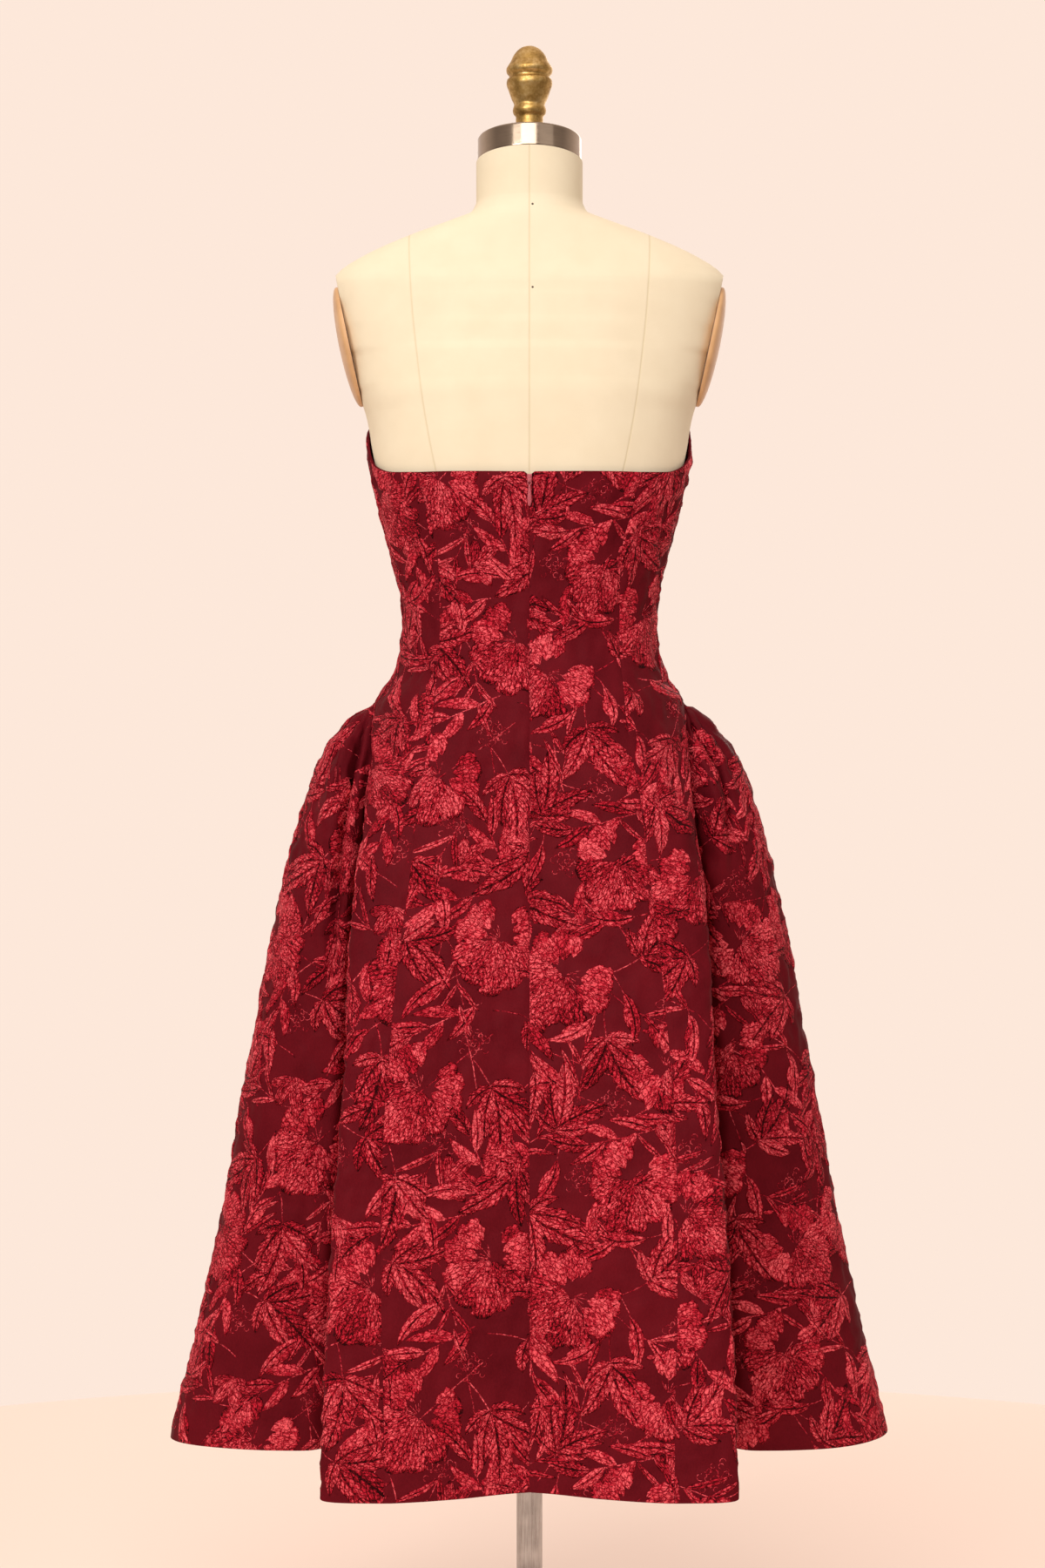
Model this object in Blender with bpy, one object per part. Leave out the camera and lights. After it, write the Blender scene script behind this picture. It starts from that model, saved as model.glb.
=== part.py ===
"""Strapless drop-waist corset dress with full side skirts, standing on a limbless dress form.

Metres, +Z up. The origin is the middle of the stand's underside, on the floor. The wearer's
front faces -Y, so the zip is on the +Y side and the wearer's left is +X.
"""

import math
from collections import namedtuple
from functools import lru_cache

import bmesh
import bpy
from mathutils import Matrix, Vector

# Cloth
WALL = 0.0020            # woven jacquard on its backing
SEAM_GAP = 0.0003        # between two sewn panels
FORM_CLEARANCE = 0.0045  # from the cloth's outer face to the form
BUST_HEIGHT = 1.2700     # above it the form stands further off the neckline
BUST_CLEARANCE = 0.0062

# Heights above the floor
HIP = 1.0040             # where the side seam ends and the side skirt begins
HEM_CENTRE = 0.2686      # back and front panels
HEM_ZIP = 0.2725         # the zip seam lifts the middle of the back a little
HEM_SIDE = 0.2820        # side skirts
NOTCH_WIDTH = 0.0045     # the neckline's V above the zip, each side
NOTCH_DEPTH = 0.0043

# Zip
ZIP_TOP = 1.2140
ZIP_END = 0.9600
TAPE_HALF_WIDTH = 0.0120
TAPE_THICKNESS = 0.0007
TAPE_GAP = 0.0006        # from the panels' inner face
PULL_AXIS_Z = 1.2114
SLIDER_SIZE = Vector((0.0050, 0.0018, 0.0088))
SLIDER_TAPER = 0.72      # the slider's lower end against its upper end
SLIDER_BEVEL = 0.0006
SLIDER_DROP = 0.0019     # how far the slider reaches below the pull's axis
AXIS_STANDOFF = 0.0010   # from the slider's face to the pull's axis
BRIDGE_OVERRUN = math.radians(55)
BRIDGE_RADIUS = 0.00135
WIRE_RADIUS = 0.00045
RING_RADIUS = 0.0018
TAB_LENGTH = 0.0195
TAB_HALF_WIDTH = 0.0022
TAB_FLATNESS = 0.42
TAB_CLEARANCE = 0.0012   # tab's back to the cloth when it hangs
TAB_GAP = 0.00025        # between the eye and the tab

# Dress form and stand
FORM_BOTTOM = 0.8100
NECK_RADIUS = 0.0525
NECK_TOP = 1.5339        # at the axis; the neck is cut at a tilt
CAP_HEIGHT = 0.0241
CAP_TILT = math.radians(8.7)
CAP_RADIUS = 0.0512
CAP_BEVEL = 0.0012
BOSS_RADIUS = 0.0165
FINIAL_BASE = 1.5700
ARM_CUT_LOW = Vector((0.1633, 0, 1.2920))
ARM_CUT_HIGH = Vector((0.1892, 0, 1.4147))
ARM_PLATE_HALF_HEIGHT = 0.0600
ARM_PLATE_HALF_DEPTH = 0.0400
ARM_PLATE_DOME = 0.0110
ARM_PLATE_EDGE = 0.0020
POLE_RADIUS = 0.0127
BASE_RADIUS = 0.2000
BASE_THICKNESS = 0.0100
HUB_RADIUS = 0.0300
HUB_TOP = 0.0600
TOUCH_GAP = 0.0003

# How far the middle panels' curves hold their direction at each end, as a share of their width
CENTRE_REACH = 0.38

# Half of the dress's plan outline at a height, from the middle of the back (or front) to the
# side: the centre line's depth, the princess seam, the outer fold of the side panel with the
# direction the cloth takes there and how softly it turns, and the seam tucked behind the fold.
# Above the hip the tuck is the side seam.
Outline = namedtuple(
    "Outline", "z centre seam_x seam_y fold_x fold_y turn soft tuck_x tuck_y"
)
BACK = [
    Outline(1.330, 0.1030, 0.1300, 0.0800, 0.1790, 0.0320, 71, 0.018, 0.1860, 0.0000),
    Outline(1.290, 0.1010, 0.1230, 0.0750, 0.1630, 0.0300, 71, 0.018, 0.1690, 0.0000),
    Outline(1.262, 0.0975, 0.1190, 0.0725, 0.1557, 0.0290, 71, 0.018, 0.1612, 0.0000),
    Outline(1.240, 0.0960, 0.1130, 0.0739, 0.1540, 0.0290, 71, 0.018, 0.1590, 0.0000),
    Outline(1.222, 0.0950, 0.1093, 0.0736, 0.1508, 0.0285, 71, 0.018, 0.1555, 0.0000),
    Outline(1.180, 0.0910, 0.0975, 0.0728, 0.1406, 0.0280, 71, 0.018, 0.1449, 0.0000),
    Outline(1.146, 0.0875, 0.0893, 0.0710, 0.1318, 0.0280, 71, 0.018, 0.1359, 0.0000),
    Outline(1.111, 0.0850, 0.0878, 0.0669, 0.1239, 0.0270, 71, 0.018, 0.1277, 0.0000),
    Outline(1.081, 0.0845, 0.0872, 0.0655, 0.1210, 0.0265, 71, 0.018, 0.1247, 0.0000),
    Outline(1.060, 0.0865, 0.0872, 0.0678, 0.1226, 0.0265, 71, 0.018, 0.1264, 0.0000),
    Outline(1.042, 0.0910, 0.0880, 0.0723, 0.1257, 0.0265, 71, 0.018, 0.1296, 0.0000),
    Outline(1.025, 0.0985, 0.0895, 0.0805, 0.1326, 0.0260, 72, 0.019, 0.1367, 0.0000),
    Outline(1.008, 0.1080, 0.0910, 0.0940, 0.1455, 0.0250, 73, 0.020, 0.1485, 0.0000),
    Outline(1.004, 0.1100, 0.0912, 0.0970, 0.1485, 0.0260, 73, 0.020, 0.1505, 0.0020),
    Outline(0.985, 0.1145, 0.0925, 0.1050, 0.1512, 0.0410, 72, 0.020, 0.1510, 0.0235),
    Outline(0.970, 0.1175, 0.0945, 0.1110, 0.1512, 0.0560, 70, 0.018, 0.1508, 0.0380),
    Outline(0.945, 0.1225, 0.0985, 0.1210, 0.1510, 0.0770, 66, 0.017, 0.1505, 0.0520),
    Outline(0.920, 0.1280, 0.1036, 0.1300, 0.1515, 0.0970, 62, 0.016, 0.1500, 0.0600),
    Outline(0.880, 0.1385, 0.1075, 0.1435, 0.1550, 0.1200, 56, 0.015, 0.1490, 0.0650),
    Outline(0.840, 0.1485, 0.1120, 0.1545, 0.1606, 0.1370, 52, 0.014, 0.1480, 0.0675),
    Outline(0.757, 0.1660, 0.1220, 0.1750, 0.1674, 0.1620, 50, 0.013, 0.1470, 0.0690),
    Outline(0.670, 0.1830, 0.1300, 0.1930, 0.1694, 0.1850, 49, 0.012, 0.1465, 0.0700),
    Outline(0.600, 0.1935, 0.1345, 0.2050, 0.1740, 0.2000, 48, 0.012, 0.1465, 0.0705),
    Outline(0.520, 0.2030, 0.1360, 0.2170, 0.1796, 0.2150, 48, 0.012, 0.1475, 0.0710),
    Outline(0.440, 0.2090, 0.1350, 0.2260, 0.1830, 0.2250, 48, 0.012, 0.1485, 0.0710),
    Outline(0.360, 0.2120, 0.1330, 0.2340, 0.1870, 0.2340, 48, 0.012, 0.1495, 0.0710),
    Outline(0.265, 0.2140, 0.1315, 0.2410, 0.1906, 0.2400, 48, 0.012, 0.1500, 0.0710),
]
FRONT = [
    Outline(1.330, 0.1260, 0.0820, 0.1310, 0.1790, 0.0340, 71, 0.018, 0.1860, 0.0000),
    Outline(1.290, 0.1310, 0.0850, 0.1395, 0.1630, 0.0340, 71, 0.018, 0.1690, 0.0000),
    Outline(1.262, 0.1320, 0.0860, 0.1420, 0.1557, 0.0330, 71, 0.018, 0.1612, 0.0000),
    Outline(1.240, 0.1310, 0.0865, 0.1415, 0.1540, 0.0330, 71, 0.018, 0.1590, 0.0000),
    Outline(1.222, 0.1295, 0.0860, 0.1390, 0.1508, 0.0325, 71, 0.018, 0.1555, 0.0000),
    Outline(1.180, 0.1225, 0.0820, 0.1255, 0.1406, 0.0310, 71, 0.018, 0.1449, 0.0000),
    Outline(1.146, 0.1140, 0.0770, 0.1105, 0.1318, 0.0300, 71, 0.018, 0.1359, 0.0000),
    Outline(1.111, 0.1070, 0.0735, 0.0985, 0.1239, 0.0290, 71, 0.018, 0.1277, 0.0000),
    Outline(1.081, 0.1045, 0.0720, 0.0935, 0.1210, 0.0285, 71, 0.018, 0.1247, 0.0000),
    Outline(1.060, 0.1055, 0.0725, 0.0950, 0.1226, 0.0285, 71, 0.018, 0.1264, 0.0000),
    Outline(1.042, 0.1080, 0.0740, 0.0985, 0.1257, 0.0285, 71, 0.018, 0.1296, 0.0000),
    Outline(1.025, 0.1115, 0.0760, 0.1030, 0.1326, 0.0280, 72, 0.019, 0.1367, 0.0000),
    Outline(1.008, 0.1148, 0.0785, 0.1080, 0.1455, 0.0260, 73, 0.020, 0.1485, 0.0000),
    Outline(1.004, 0.1155, 0.0790, 0.1090, 0.1485, 0.0270, 73, 0.020, 0.1505, 0.0020),
    Outline(0.985, 0.1180, 0.0810, 0.1140, 0.1512, 0.0405, 72, 0.020, 0.1510, 0.0230),
    Outline(0.970, 0.1200, 0.0830, 0.1175, 0.1512, 0.0545, 70, 0.018, 0.1508, 0.0370),
    Outline(0.945, 0.1235, 0.0875, 0.1240, 0.1510, 0.0755, 66, 0.017, 0.1505, 0.0500),
    Outline(0.920, 0.1280, 0.0930, 0.1305, 0.1515, 0.0945, 62, 0.016, 0.1500, 0.0575),
    Outline(0.880, 0.1370, 0.0985, 0.1420, 0.1550, 0.1150, 56, 0.015, 0.1490, 0.0625),
    Outline(0.840, 0.1455, 0.1040, 0.1515, 0.1600, 0.1310, 52, 0.014, 0.1480, 0.0650),
    Outline(0.757, 0.1605, 0.1150, 0.1690, 0.1665, 0.1535, 50, 0.013, 0.1470, 0.0665),
    Outline(0.670, 0.1745, 0.1235, 0.1845, 0.1690, 0.1740, 49, 0.012, 0.1465, 0.0670),
    Outline(0.600, 0.1840, 0.1285, 0.1950, 0.1730, 0.1875, 48, 0.012, 0.1465, 0.0675),
    Outline(0.520, 0.1925, 0.1310, 0.2055, 0.1780, 0.2010, 48, 0.012, 0.1475, 0.0680),
    Outline(0.440, 0.1985, 0.1310, 0.2135, 0.1815, 0.2105, 48, 0.012, 0.1485, 0.0680),
    Outline(0.360, 0.2020, 0.1300, 0.2205, 0.1850, 0.2185, 48, 0.012, 0.1495, 0.0680),
    Outline(0.265, 0.2045, 0.1290, 0.2265, 0.1880, 0.2245, 48, 0.012, 0.1500, 0.0680),
]

# The side skirt: how far out its silhouette stands, and how far it swells past the tuck's depth.
Lobe = namedtuple("Lobe", "z tip swell")
SIDE = [
    Lobe(1.0040, 0.1520, 0.000),
    Lobe(1.0000, 0.1548, 0.001),
    Lobe(0.9960, 0.1625, 0.002),
    Lobe(0.9908, 0.1725, 0.004),
    Lobe(0.9736, 0.1874, 0.008),
    Lobe(0.9564, 0.2012, 0.010),
    Lobe(0.9392, 0.2094, 0.012),
    Lobe(0.9048, 0.2210, 0.014),
    Lobe(0.8532, 0.2360, 0.016),
    Lobe(0.7672, 0.2549, 0.018),
    Lobe(0.6984, 0.2678, 0.019),
    Lobe(0.6297, 0.2803, 0.020),
    Lobe(0.5609, 0.2919, 0.021),
    Lobe(0.4921, 0.3044, 0.022),
    Lobe(0.4233, 0.3199, 0.023),
    Lobe(0.3545, 0.3349, 0.024),
    Lobe(0.2820, 0.3545, 0.025),
]

# Folds that run down from the hip notch over the side skirt. top, mid and low are heights; at
# each, across says how far out from the tuck the fold lies, as a share of the way to the tip.
Fold = namedtuple(
    "Fold", "side face top mid low across_top across_mid across_low rise width"
)
FOLDS = [
    Fold("left", "back", 1.000, 0.890, 0.720, 0.10, 0.49, 0.28, 0.0110, 0.100),
    Fold("left", "back", 1.000, 0.900, 0.800, 0.24, 0.61, 0.52, -0.0100, 0.070),
    Fold("left", "back", 0.998, 0.955, 0.890, 0.50, 0.76, 0.84, -0.0035, 0.070),
    Fold("right", "back", 1.000, 0.910, 0.780, 0.08, 0.42, 0.30, 0.0100, 0.150),
    Fold("right", "back", 1.000, 0.922, 0.830, 0.12, 0.60, 0.42, -0.0125, 0.070),
    Fold("right", "back", 0.998, 0.950, 0.880, 0.50, 0.80, 0.88, -0.0035, 0.070),
    Fold("left", "front", 1.000, 0.905, 0.760, 0.10, 0.45, 0.30, 0.0100, 0.120),
    Fold("left", "front", 1.000, 0.915, 0.820, 0.18, 0.59, 0.46, -0.0110, 0.070),
    Fold("right", "front", 1.000, 0.895, 0.740, 0.10, 0.47, 0.30, 0.0105, 0.110),
    Fold("right", "front", 1.000, 0.905, 0.810, 0.22, 0.60, 0.50, -0.0105, 0.070),
]

# Neckline heights, from the middle of the back round to the middle of the front. Along is the
# share of the way across the panel.
Edge = namedtuple("Edge", "along height")
NECKLINE = {
    "center_back": [Edge(0, 1.2208), Edge(1, 1.2223)],
    "side_back": [Edge(0, 1.2223), Edge(0.25, 1.2243), Edge(0.5, 1.2330), Edge(0.75, 1.2440),
                  Edge(1, 1.2556)],
    "side_front": [Edge(0, 1.2556), Edge(0.25, 1.2680), Edge(0.5, 1.2795), Edge(0.75, 1.3010),
                   Edge(1, 1.3145)],
    "center_front": [Edge(0, 1.3145), Edge(0.35, 1.3110), Edge(0.7, 1.2960), Edge(1, 1.2860)],
}
SIDE_LIFT = {"left": 0.0050, "right": -0.0050}   # the dress sits a little higher on the left
HEM = {
    "center_back": [Edge(0, HEM_ZIP), Edge(0.5, 0.2690), Edge(1, HEM_CENTRE)],
    "side_back": [Edge(0, HEM_CENTRE), Edge(0.45, 0.2712), Edge(0.6, 0.2750), Edge(1, HEM_SIDE)],
    "side_skirt": [Edge(0, HEM_SIDE), Edge(0.25, 0.2810), Edge(0.5, HEM_SIDE), Edge(0.75, 0.2810),
                   Edge(1, HEM_SIDE)],
    "side_front": [Edge(0, HEM_SIDE), Edge(0.4, 0.2750), Edge(0.55, 0.2712), Edge(1, HEM_CENTRE)],
    "center_front": [Edge(0, HEM_CENTRE), Edge(1, HEM_CENTRE)],
}
TIP_HEM_LIFT = {"left": -0.0025, "right": 0.0035}

# Grids: shares of the way across each panel, and of the way up the bodice and down the skirt.
ACROSS = {
    "center_back": [0, 0.04, 0.2, 0.4, 0.6, 0.8, 1],
    "side_back": [0, 0.17, 0.32, 0.42, 0.5, 0.58, 0.7, 0.85, 1],
    "side_skirt": [0, 0.03, 0.06, 0.09, 0.12, 0.15, 0.18, 0.21, 0.25, 0.3, 0.36, 0.43,
                   0.5, 0.57, 0.64, 0.7, 0.75, 0.79, 0.82, 0.85, 0.88, 0.91, 0.94, 0.97, 1],
    "side_front": [0, 0.15, 0.3, 0.42, 0.5, 0.58, 0.68, 0.83, 1],
    "center_front": [0, 0.25, 0.5, 0.75, 1],
}
BODICE_SHARES = [1, 0.9, 0.78, 0.66, 0.53, 0.40, 0.27, 0.13, 0.018]
SKIRT_ROWS = 13
SKIRT_CROWDING = 1.7     # rows lie closer together near the hip
SKIRT_SHARES = [(row / SKIRT_ROWS) ** SKIRT_CROWDING for row in range(SKIRT_ROWS + 1)]
ALL_ROWS = list(range(len(BODICE_SHARES) + len(SKIRT_SHARES)))

# Torso rings of the form that the dress doesn't cover: half width, depth behind and in front,
# and how square the ring is.
Ring = namedtuple("Ring", "z half_width back front square")
TORSO_TOP = [
    Ring(1.345, 0.1900, 0.0980, 0.1150, 2.4),
    Ring(1.370, 0.1960, 0.0950, 0.0990, 2.3),
    Ring(1.395, 0.1985, 0.0870, 0.0810, 2.2),
    Ring(1.412, 0.1975, 0.0800, 0.0670, 2.1),
    Ring(1.421, 0.1930, 0.0760, 0.0600, 2.0),
    Ring(1.4284, 0.1860, 0.0730, 0.0560, 2.0),
    Ring(1.4448, 0.1585, 0.0680, 0.0520, 2.0),
    Ring(1.4620, 0.1185, 0.0640, 0.0505, 2.0),
    Ring(1.4740, 0.0845, 0.0610, 0.0510, 2.0),
    Ring(1.4845, 0.0580, 0.0575, 0.0515, 2.0),
    Ring(1.4960, NECK_RADIUS, 0.0540, 0.0520, 2.0),
    Ring(1.5800, NECK_RADIUS, NECK_RADIUS, NECK_RADIUS, 2.0),
]
TORSO_BOTTOM = [
    Ring(FORM_BOTTOM, 0.1400, 0.1000, 0.0990, 2.3),
    Ring(FORM_BOTTOM + 0.006, 0.1480, 0.1060, 0.1050, 2.3),
    Ring(0.840, 0.1550, 0.1110, 0.1100, 2.3),
    Ring(0.880, 0.1590, 0.1140, 0.1130, 2.3),
    Ring(0.920, 0.1575, 0.1130, 0.1140, 2.2),
    Ring(0.945, 0.1550, 0.1115, 0.1140, 2.2),
    Ring(0.970, 0.1515, 0.1090, 0.1125, 2.2),
]
COVERED_HEIGHTS = [1.000, 1.025, 1.050, 1.081, 1.115, 1.150, 1.185, 1.215, 1.240, 1.262, 1.285, 1.310]

# Turned shapes, from the foot up: height above the foot and radius.
Turning = namedtuple("Turning", "height radius")
FINIAL = [
    Turning(0.0000, 0.0135), Turning(0.0100, 0.0135), Turning(0.0130, 0.0158), Turning(0.0163, 0.0165),
    Turning(0.0196, 0.0158), Turning(0.0215, 0.0152), Turning(0.0280, 0.0178), Turning(0.0360, 0.0206),
    Turning(0.0425, 0.0226), Turning(0.0462, 0.0222), Turning(0.0485, 0.0200), Turning(0.0500, 0.0200),
    Turning(0.0535, 0.0224), Turning(0.0566, 0.0229), Turning(0.0600, 0.0214), Turning(0.0636, 0.0190),
    Turning(0.0700, 0.0160), Turning(0.0750, 0.0122), Turning(0.0785, 0.0075), Turning(0.0800, 0.0030),
]
STAND_BASE = [
    Turning(0, BASE_RADIUS - 0.002),
    Turning(0.002, BASE_RADIUS),
    Turning(BASE_THICKNESS - 0.003, BASE_RADIUS),
    Turning(BASE_THICKNESS, BASE_RADIUS - 0.004),
    Turning(BASE_THICKNESS + 0.002, HUB_RADIUS + 0.006),
    Turning(BASE_THICKNESS + 0.010, HUB_RADIUS),
    Turning(HUB_TOP - 0.004, HUB_RADIUS - 0.005),
    Turning(HUB_TOP, HUB_RADIUS - 0.009),
]
# The pull tab hangs: shares of its length down from its top, and of its half width.
TAB_SHAPE = [
    Turning(0.00, 0.30), Turning(0.04, 0.52), Turning(0.20, 0.58), Turning(0.42, 0.80), Turning(0.66, 1.00),
    Turning(0.84, 0.86), Turning(0.95, 0.58), Turning(1.00, 0.25),
]

TABLES = {"back": BACK, "front": FRONT, "side": SIDE}
TABLES.update({"neck " + panel: rows for panel, rows in NECKLINE.items()})
TABLES.update({"hem " + panel: rows for panel, rows in HEM.items()})


def clear_scene():
    for old in list(bpy.data.objects):
        bpy.data.objects.remove(old, do_unlink=True)


def finish(name, color, roughness, metallic=0.0):
    """A plain material in the part's own colour."""
    material = bpy.data.materials.new(name)
    material.use_nodes = True
    shader = material.node_tree.nodes["Principled BSDF"]
    shader.inputs["Base Color"].default_value = (*color, 1)
    shader.inputs["Roughness"].default_value = roughness
    shader.inputs["Metallic"].default_value = metallic
    return material


def add_object(name, bm, material, origin=(0, 0, 0)):
    """Makes the object of a closed mesh drawn in place, with its origin moved to a point."""
    bmesh.ops.recalc_face_normals(bm, faces=bm.faces)
    bmesh.ops.translate(bm, verts=bm.verts, vec=-Vector(origin))
    mesh = bpy.data.meshes.new(name)
    bm.to_mesh(mesh)
    bm.free()
    mesh.shade_smooth()
    mesh.set_sharp_from_angle(angle=math.radians(40))
    mesh.materials.append(material)
    obj = bpy.data.objects.new(name, mesh)
    obj.location = origin
    bpy.context.scene.collection.objects.link(obj)
    return obj


@lru_cache(maxsize=None)
def slopes(name, column):
    """Slopes of a smooth curve through a table's column that never overshoots its rows."""
    rows = sorted(TABLES[name], key=lambda row: row[0])
    xs = [row[0] for row in rows]
    ys = [getattr(row, column) for row in rows]
    steps = [b - a for a, b in zip(xs, xs[1:])]
    rises = [(b - a) / step for a, b, step in zip(ys, ys[1:], steps)]
    inner = [
        2 * a * b / (a + b) if a * b > 0 else 0.0 for a, b in zip(rises, rises[1:])
    ]
    return xs, ys, [rises[0], *inner, rises[-1]]


def read(name, column, x):
    """A table's column at x, between its rows on a smooth curve."""
    xs, ys, slope = slopes(name, column)
    x = min(max(x, xs[0]), xs[-1])
    i = max(k for k in range(len(xs) - 1) if xs[k] <= x or k == 0)
    step = xs[i + 1] - xs[i]
    t = (x - xs[i]) / step
    return (
        (2 * t**3 - 3 * t**2 + 1) * ys[i]
        + (t**3 - 2 * t**2 + t) * step * slope[i]
        + (3 * t**2 - 2 * t**3) * ys[i + 1]
        + (t**3 - t**2) * step * slope[i + 1]
    )


def heading(degrees):
    """The plan direction that turns clockwise from +X."""
    angle = math.radians(degrees)
    return Vector((math.cos(angle), -math.sin(angle)))


def bezier(a, b, c, d, t):
    s = 1 - t
    return a * s**3 + b * (3 * s * s * t) + c * (3 * s * t * t) + d * t**3


@lru_cache(maxsize=None)
def outline(face, z):
    """The named points of half an outline at a height, with the directions between them."""
    value = {column: read(face, column, z) for column in Outline._fields[1:]}
    centre = Vector((0, value["centre"]))
    seam = Vector((value["seam_x"], value["seam_y"]))
    fold = Vector((value["fold_x"], value["fold_y"]))
    tuck = Vector((value["tuck_x"], value["tuck_y"]))
    along_seam = ((seam - centre).normalized() + (fold - seam).normalized()).normalized()
    return centre, seam, fold, tuck, along_seam, heading(value["turn"]), value["soft"]


def centre_curve(face, z, t):
    """Centre line at t = 0, princess seam at t = 1."""
    centre, seam, _, _, along_seam, _, _ = outline(face, z)
    reach = CENTRE_REACH * (seam - centre).length
    return bezier(centre, centre + Vector((reach, 0)), seam - along_seam * reach, seam, t)


def side_curve(face, z, t):
    """Princess seam at t = 0, outer fold at 0.5, tuck or side seam at 1."""
    _, seam, fold, tuck, along_seam, along_fold, soft = outline(face, z)
    if t <= 0.5:
        reach = 0.35 * (fold - seam).length
        return bezier(seam, seam + along_seam * reach, fold - along_fold * soft, fold, 2 * t)
    reach = (tuck - fold).length
    turned = fold + along_fold * min(soft, 0.35 * reach)
    return bezier(fold, turned, tuck - heading(92) * (0.3 * reach), tuck, 2 * t - 1)


def smooth_step(t):
    t = min(max(t, 0.0), 1.0)
    return t * t * (3 - 2 * t)


def fold_height(side, face, across, z):
    """How far the folds lift the side skirt at a share of the way across and a height."""
    total = 0.0
    for fold in FOLDS:
        if (fold.side, fold.face) != (side, face) or not fold.low < z < fold.top:
            continue
        if z > fold.mid:
            t = (fold.top - z) / (fold.top - fold.mid)
            centre = fold.across_top + (fold.across_mid - fold.across_top) * smooth_step(t)
            size = smooth_step(2 * t)
        else:
            t = (fold.mid - z) / (fold.mid - fold.low)
            centre = fold.across_mid + (fold.across_low - fold.across_mid) * smooth_step(t)
            size = 1 - smooth_step(t)
        total += fold.rise * size * math.exp(-(((across - centre) / fold.width) ** 2))
    return total


def lobe_curve(side, z, t):
    """The side skirt: back tuck at t = 0, silhouette at 0.5, front tuck at 1."""
    face = "back" if t <= 0.5 else "front"
    sign = 1 if t <= 0.5 else -1
    tuck = outline(face, z)[3]
    tip = Vector((read("side", "tip", z), 0))
    swell = read("side", "swell", z)
    depth = tuck.y + 0.5 * swell
    near = Vector((tuck.x + 0.42 * (tip.x - tuck.x), tuck.y + swell))
    far = Vector((tip.x, 0.8 * depth))
    share = 2 * min(t, 1 - t)
    place = bezier(tuck, near, far, tip, share)
    ahead = bezier(tuck, near, far, tip, share + 0.01)
    across = (place.x - tuck.x) / max(tip.x - tuck.x, 1e-6)
    tangent = (ahead - place).normalized()
    lift = fold_height(side, face, across, z) * smooth_step(6 * across)
    place = place + Vector((-tangent.y, tangent.x)) * lift
    return Vector((place.x, sign * place.y))


def plan(panel, side, t, z):
    """A panel's outer face at a share of the way across and a height, on the wearer's left."""
    if panel == "center_back":
        flat = centre_curve("back", z, t)
    elif panel == "side_back":
        flat = side_curve("back", z, t)
    elif panel == "side_skirt":
        flat = lobe_curve(side, z, t)
    elif panel == "side_front":
        flat = side_curve("front", z, 1 - t) * Vector((1, -1))
    else:
        flat = centre_curve("front", z, 1 - t) * Vector((1, -1))
    return Vector((flat.x, flat.y, z))


def top_of(panel, side, t):
    height = read("neck " + panel, "height", t)
    if panel == "center_back":
        across = plan(panel, side, t, height).x
        height -= NOTCH_DEPTH * max(0.0, 1 - across / NOTCH_WIDTH)
    if panel == "side_back":
        height += SIDE_LIFT[side] * smooth_step(2 * t - 1)
    if panel == "side_front":
        height += SIDE_LIFT[side] * smooth_step(1 - 2 * t)
    return height


def hem_of(panel, side, t):
    height = read("hem " + panel, "height", t)
    if panel == "side_skirt":
        height += TIP_HEM_LIFT[side] * smooth_step(1 - abs(4 * t - 2))
    return height


def height_of(panel, side, t, row):
    """Rows count down from the neckline, through the hip, to the hem."""
    if row < len(BODICE_SHARES):
        return HIP + (top_of(panel, side, t) - HIP) * BODICE_SHARES[row]
    share = SKIRT_SHARES[row - len(BODICE_SHARES)]
    return HIP + (hem_of(panel, side, t) - HIP) * share


def outward(panel, side, t, z):
    """The outer face's normal, from small steps along it."""
    step = 0.002
    across = plan(panel, side, min(t + step, 1), z) - plan(panel, side, max(t - step, 0), z)
    upward = plan(panel, side, t, z + step) - plan(panel, side, t, z - step)
    return upward.cross(across).normalized()


def neighbour(panel, t, row):
    """The panel sewn on at an edge, with the place on it that meets this edge."""
    above = row < len(BODICE_SHARES)
    if panel == "center_back":
        return ("side_back", 0) if t == 1 else None
    if panel == "side_back":
        if t == 0:
            return ("center_back", 1)
        return (("side_front", 0) if above else ("side_skirt", 0)) if t == 1 else None
    if panel == "side_skirt":
        return {0: ("side_back", 1), 1: ("side_front", 0)}.get(t)
    if panel == "side_front":
        if t == 1:
            return ("center_front", 0)
        return (("side_back", 1) if above else ("side_skirt", 1)) if t == 0 else None
    return ("side_front", 1) if t == 0 else None


def wall_points(panel, side, t, row):
    """The outer and the inner point of the wall. At a seam both panels share one mitre."""
    z = height_of(panel, side, t, row)
    place = plan(panel, side, t, z)
    normal = outward(panel, side, t, z)
    stretch = 1.0
    sewn_to = neighbour(panel, t, row)
    if sewn_to:
        other = outward(sewn_to[0], side, sewn_to[1], z)
        shared = (normal + other).normalized()
        stretch = min(1 / max(shared.dot(normal), 0.1), 1.6)
        normal = shared
    if t in (0, 1) and (sewn_to or panel == "center_back"):
        inside = plan(panel, side, abs(t - 0.01), z)
        place = place + (inside - place).normalized() * (SEAM_GAP / 2)
    return place, place - normal * (WALL * stretch)


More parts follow.
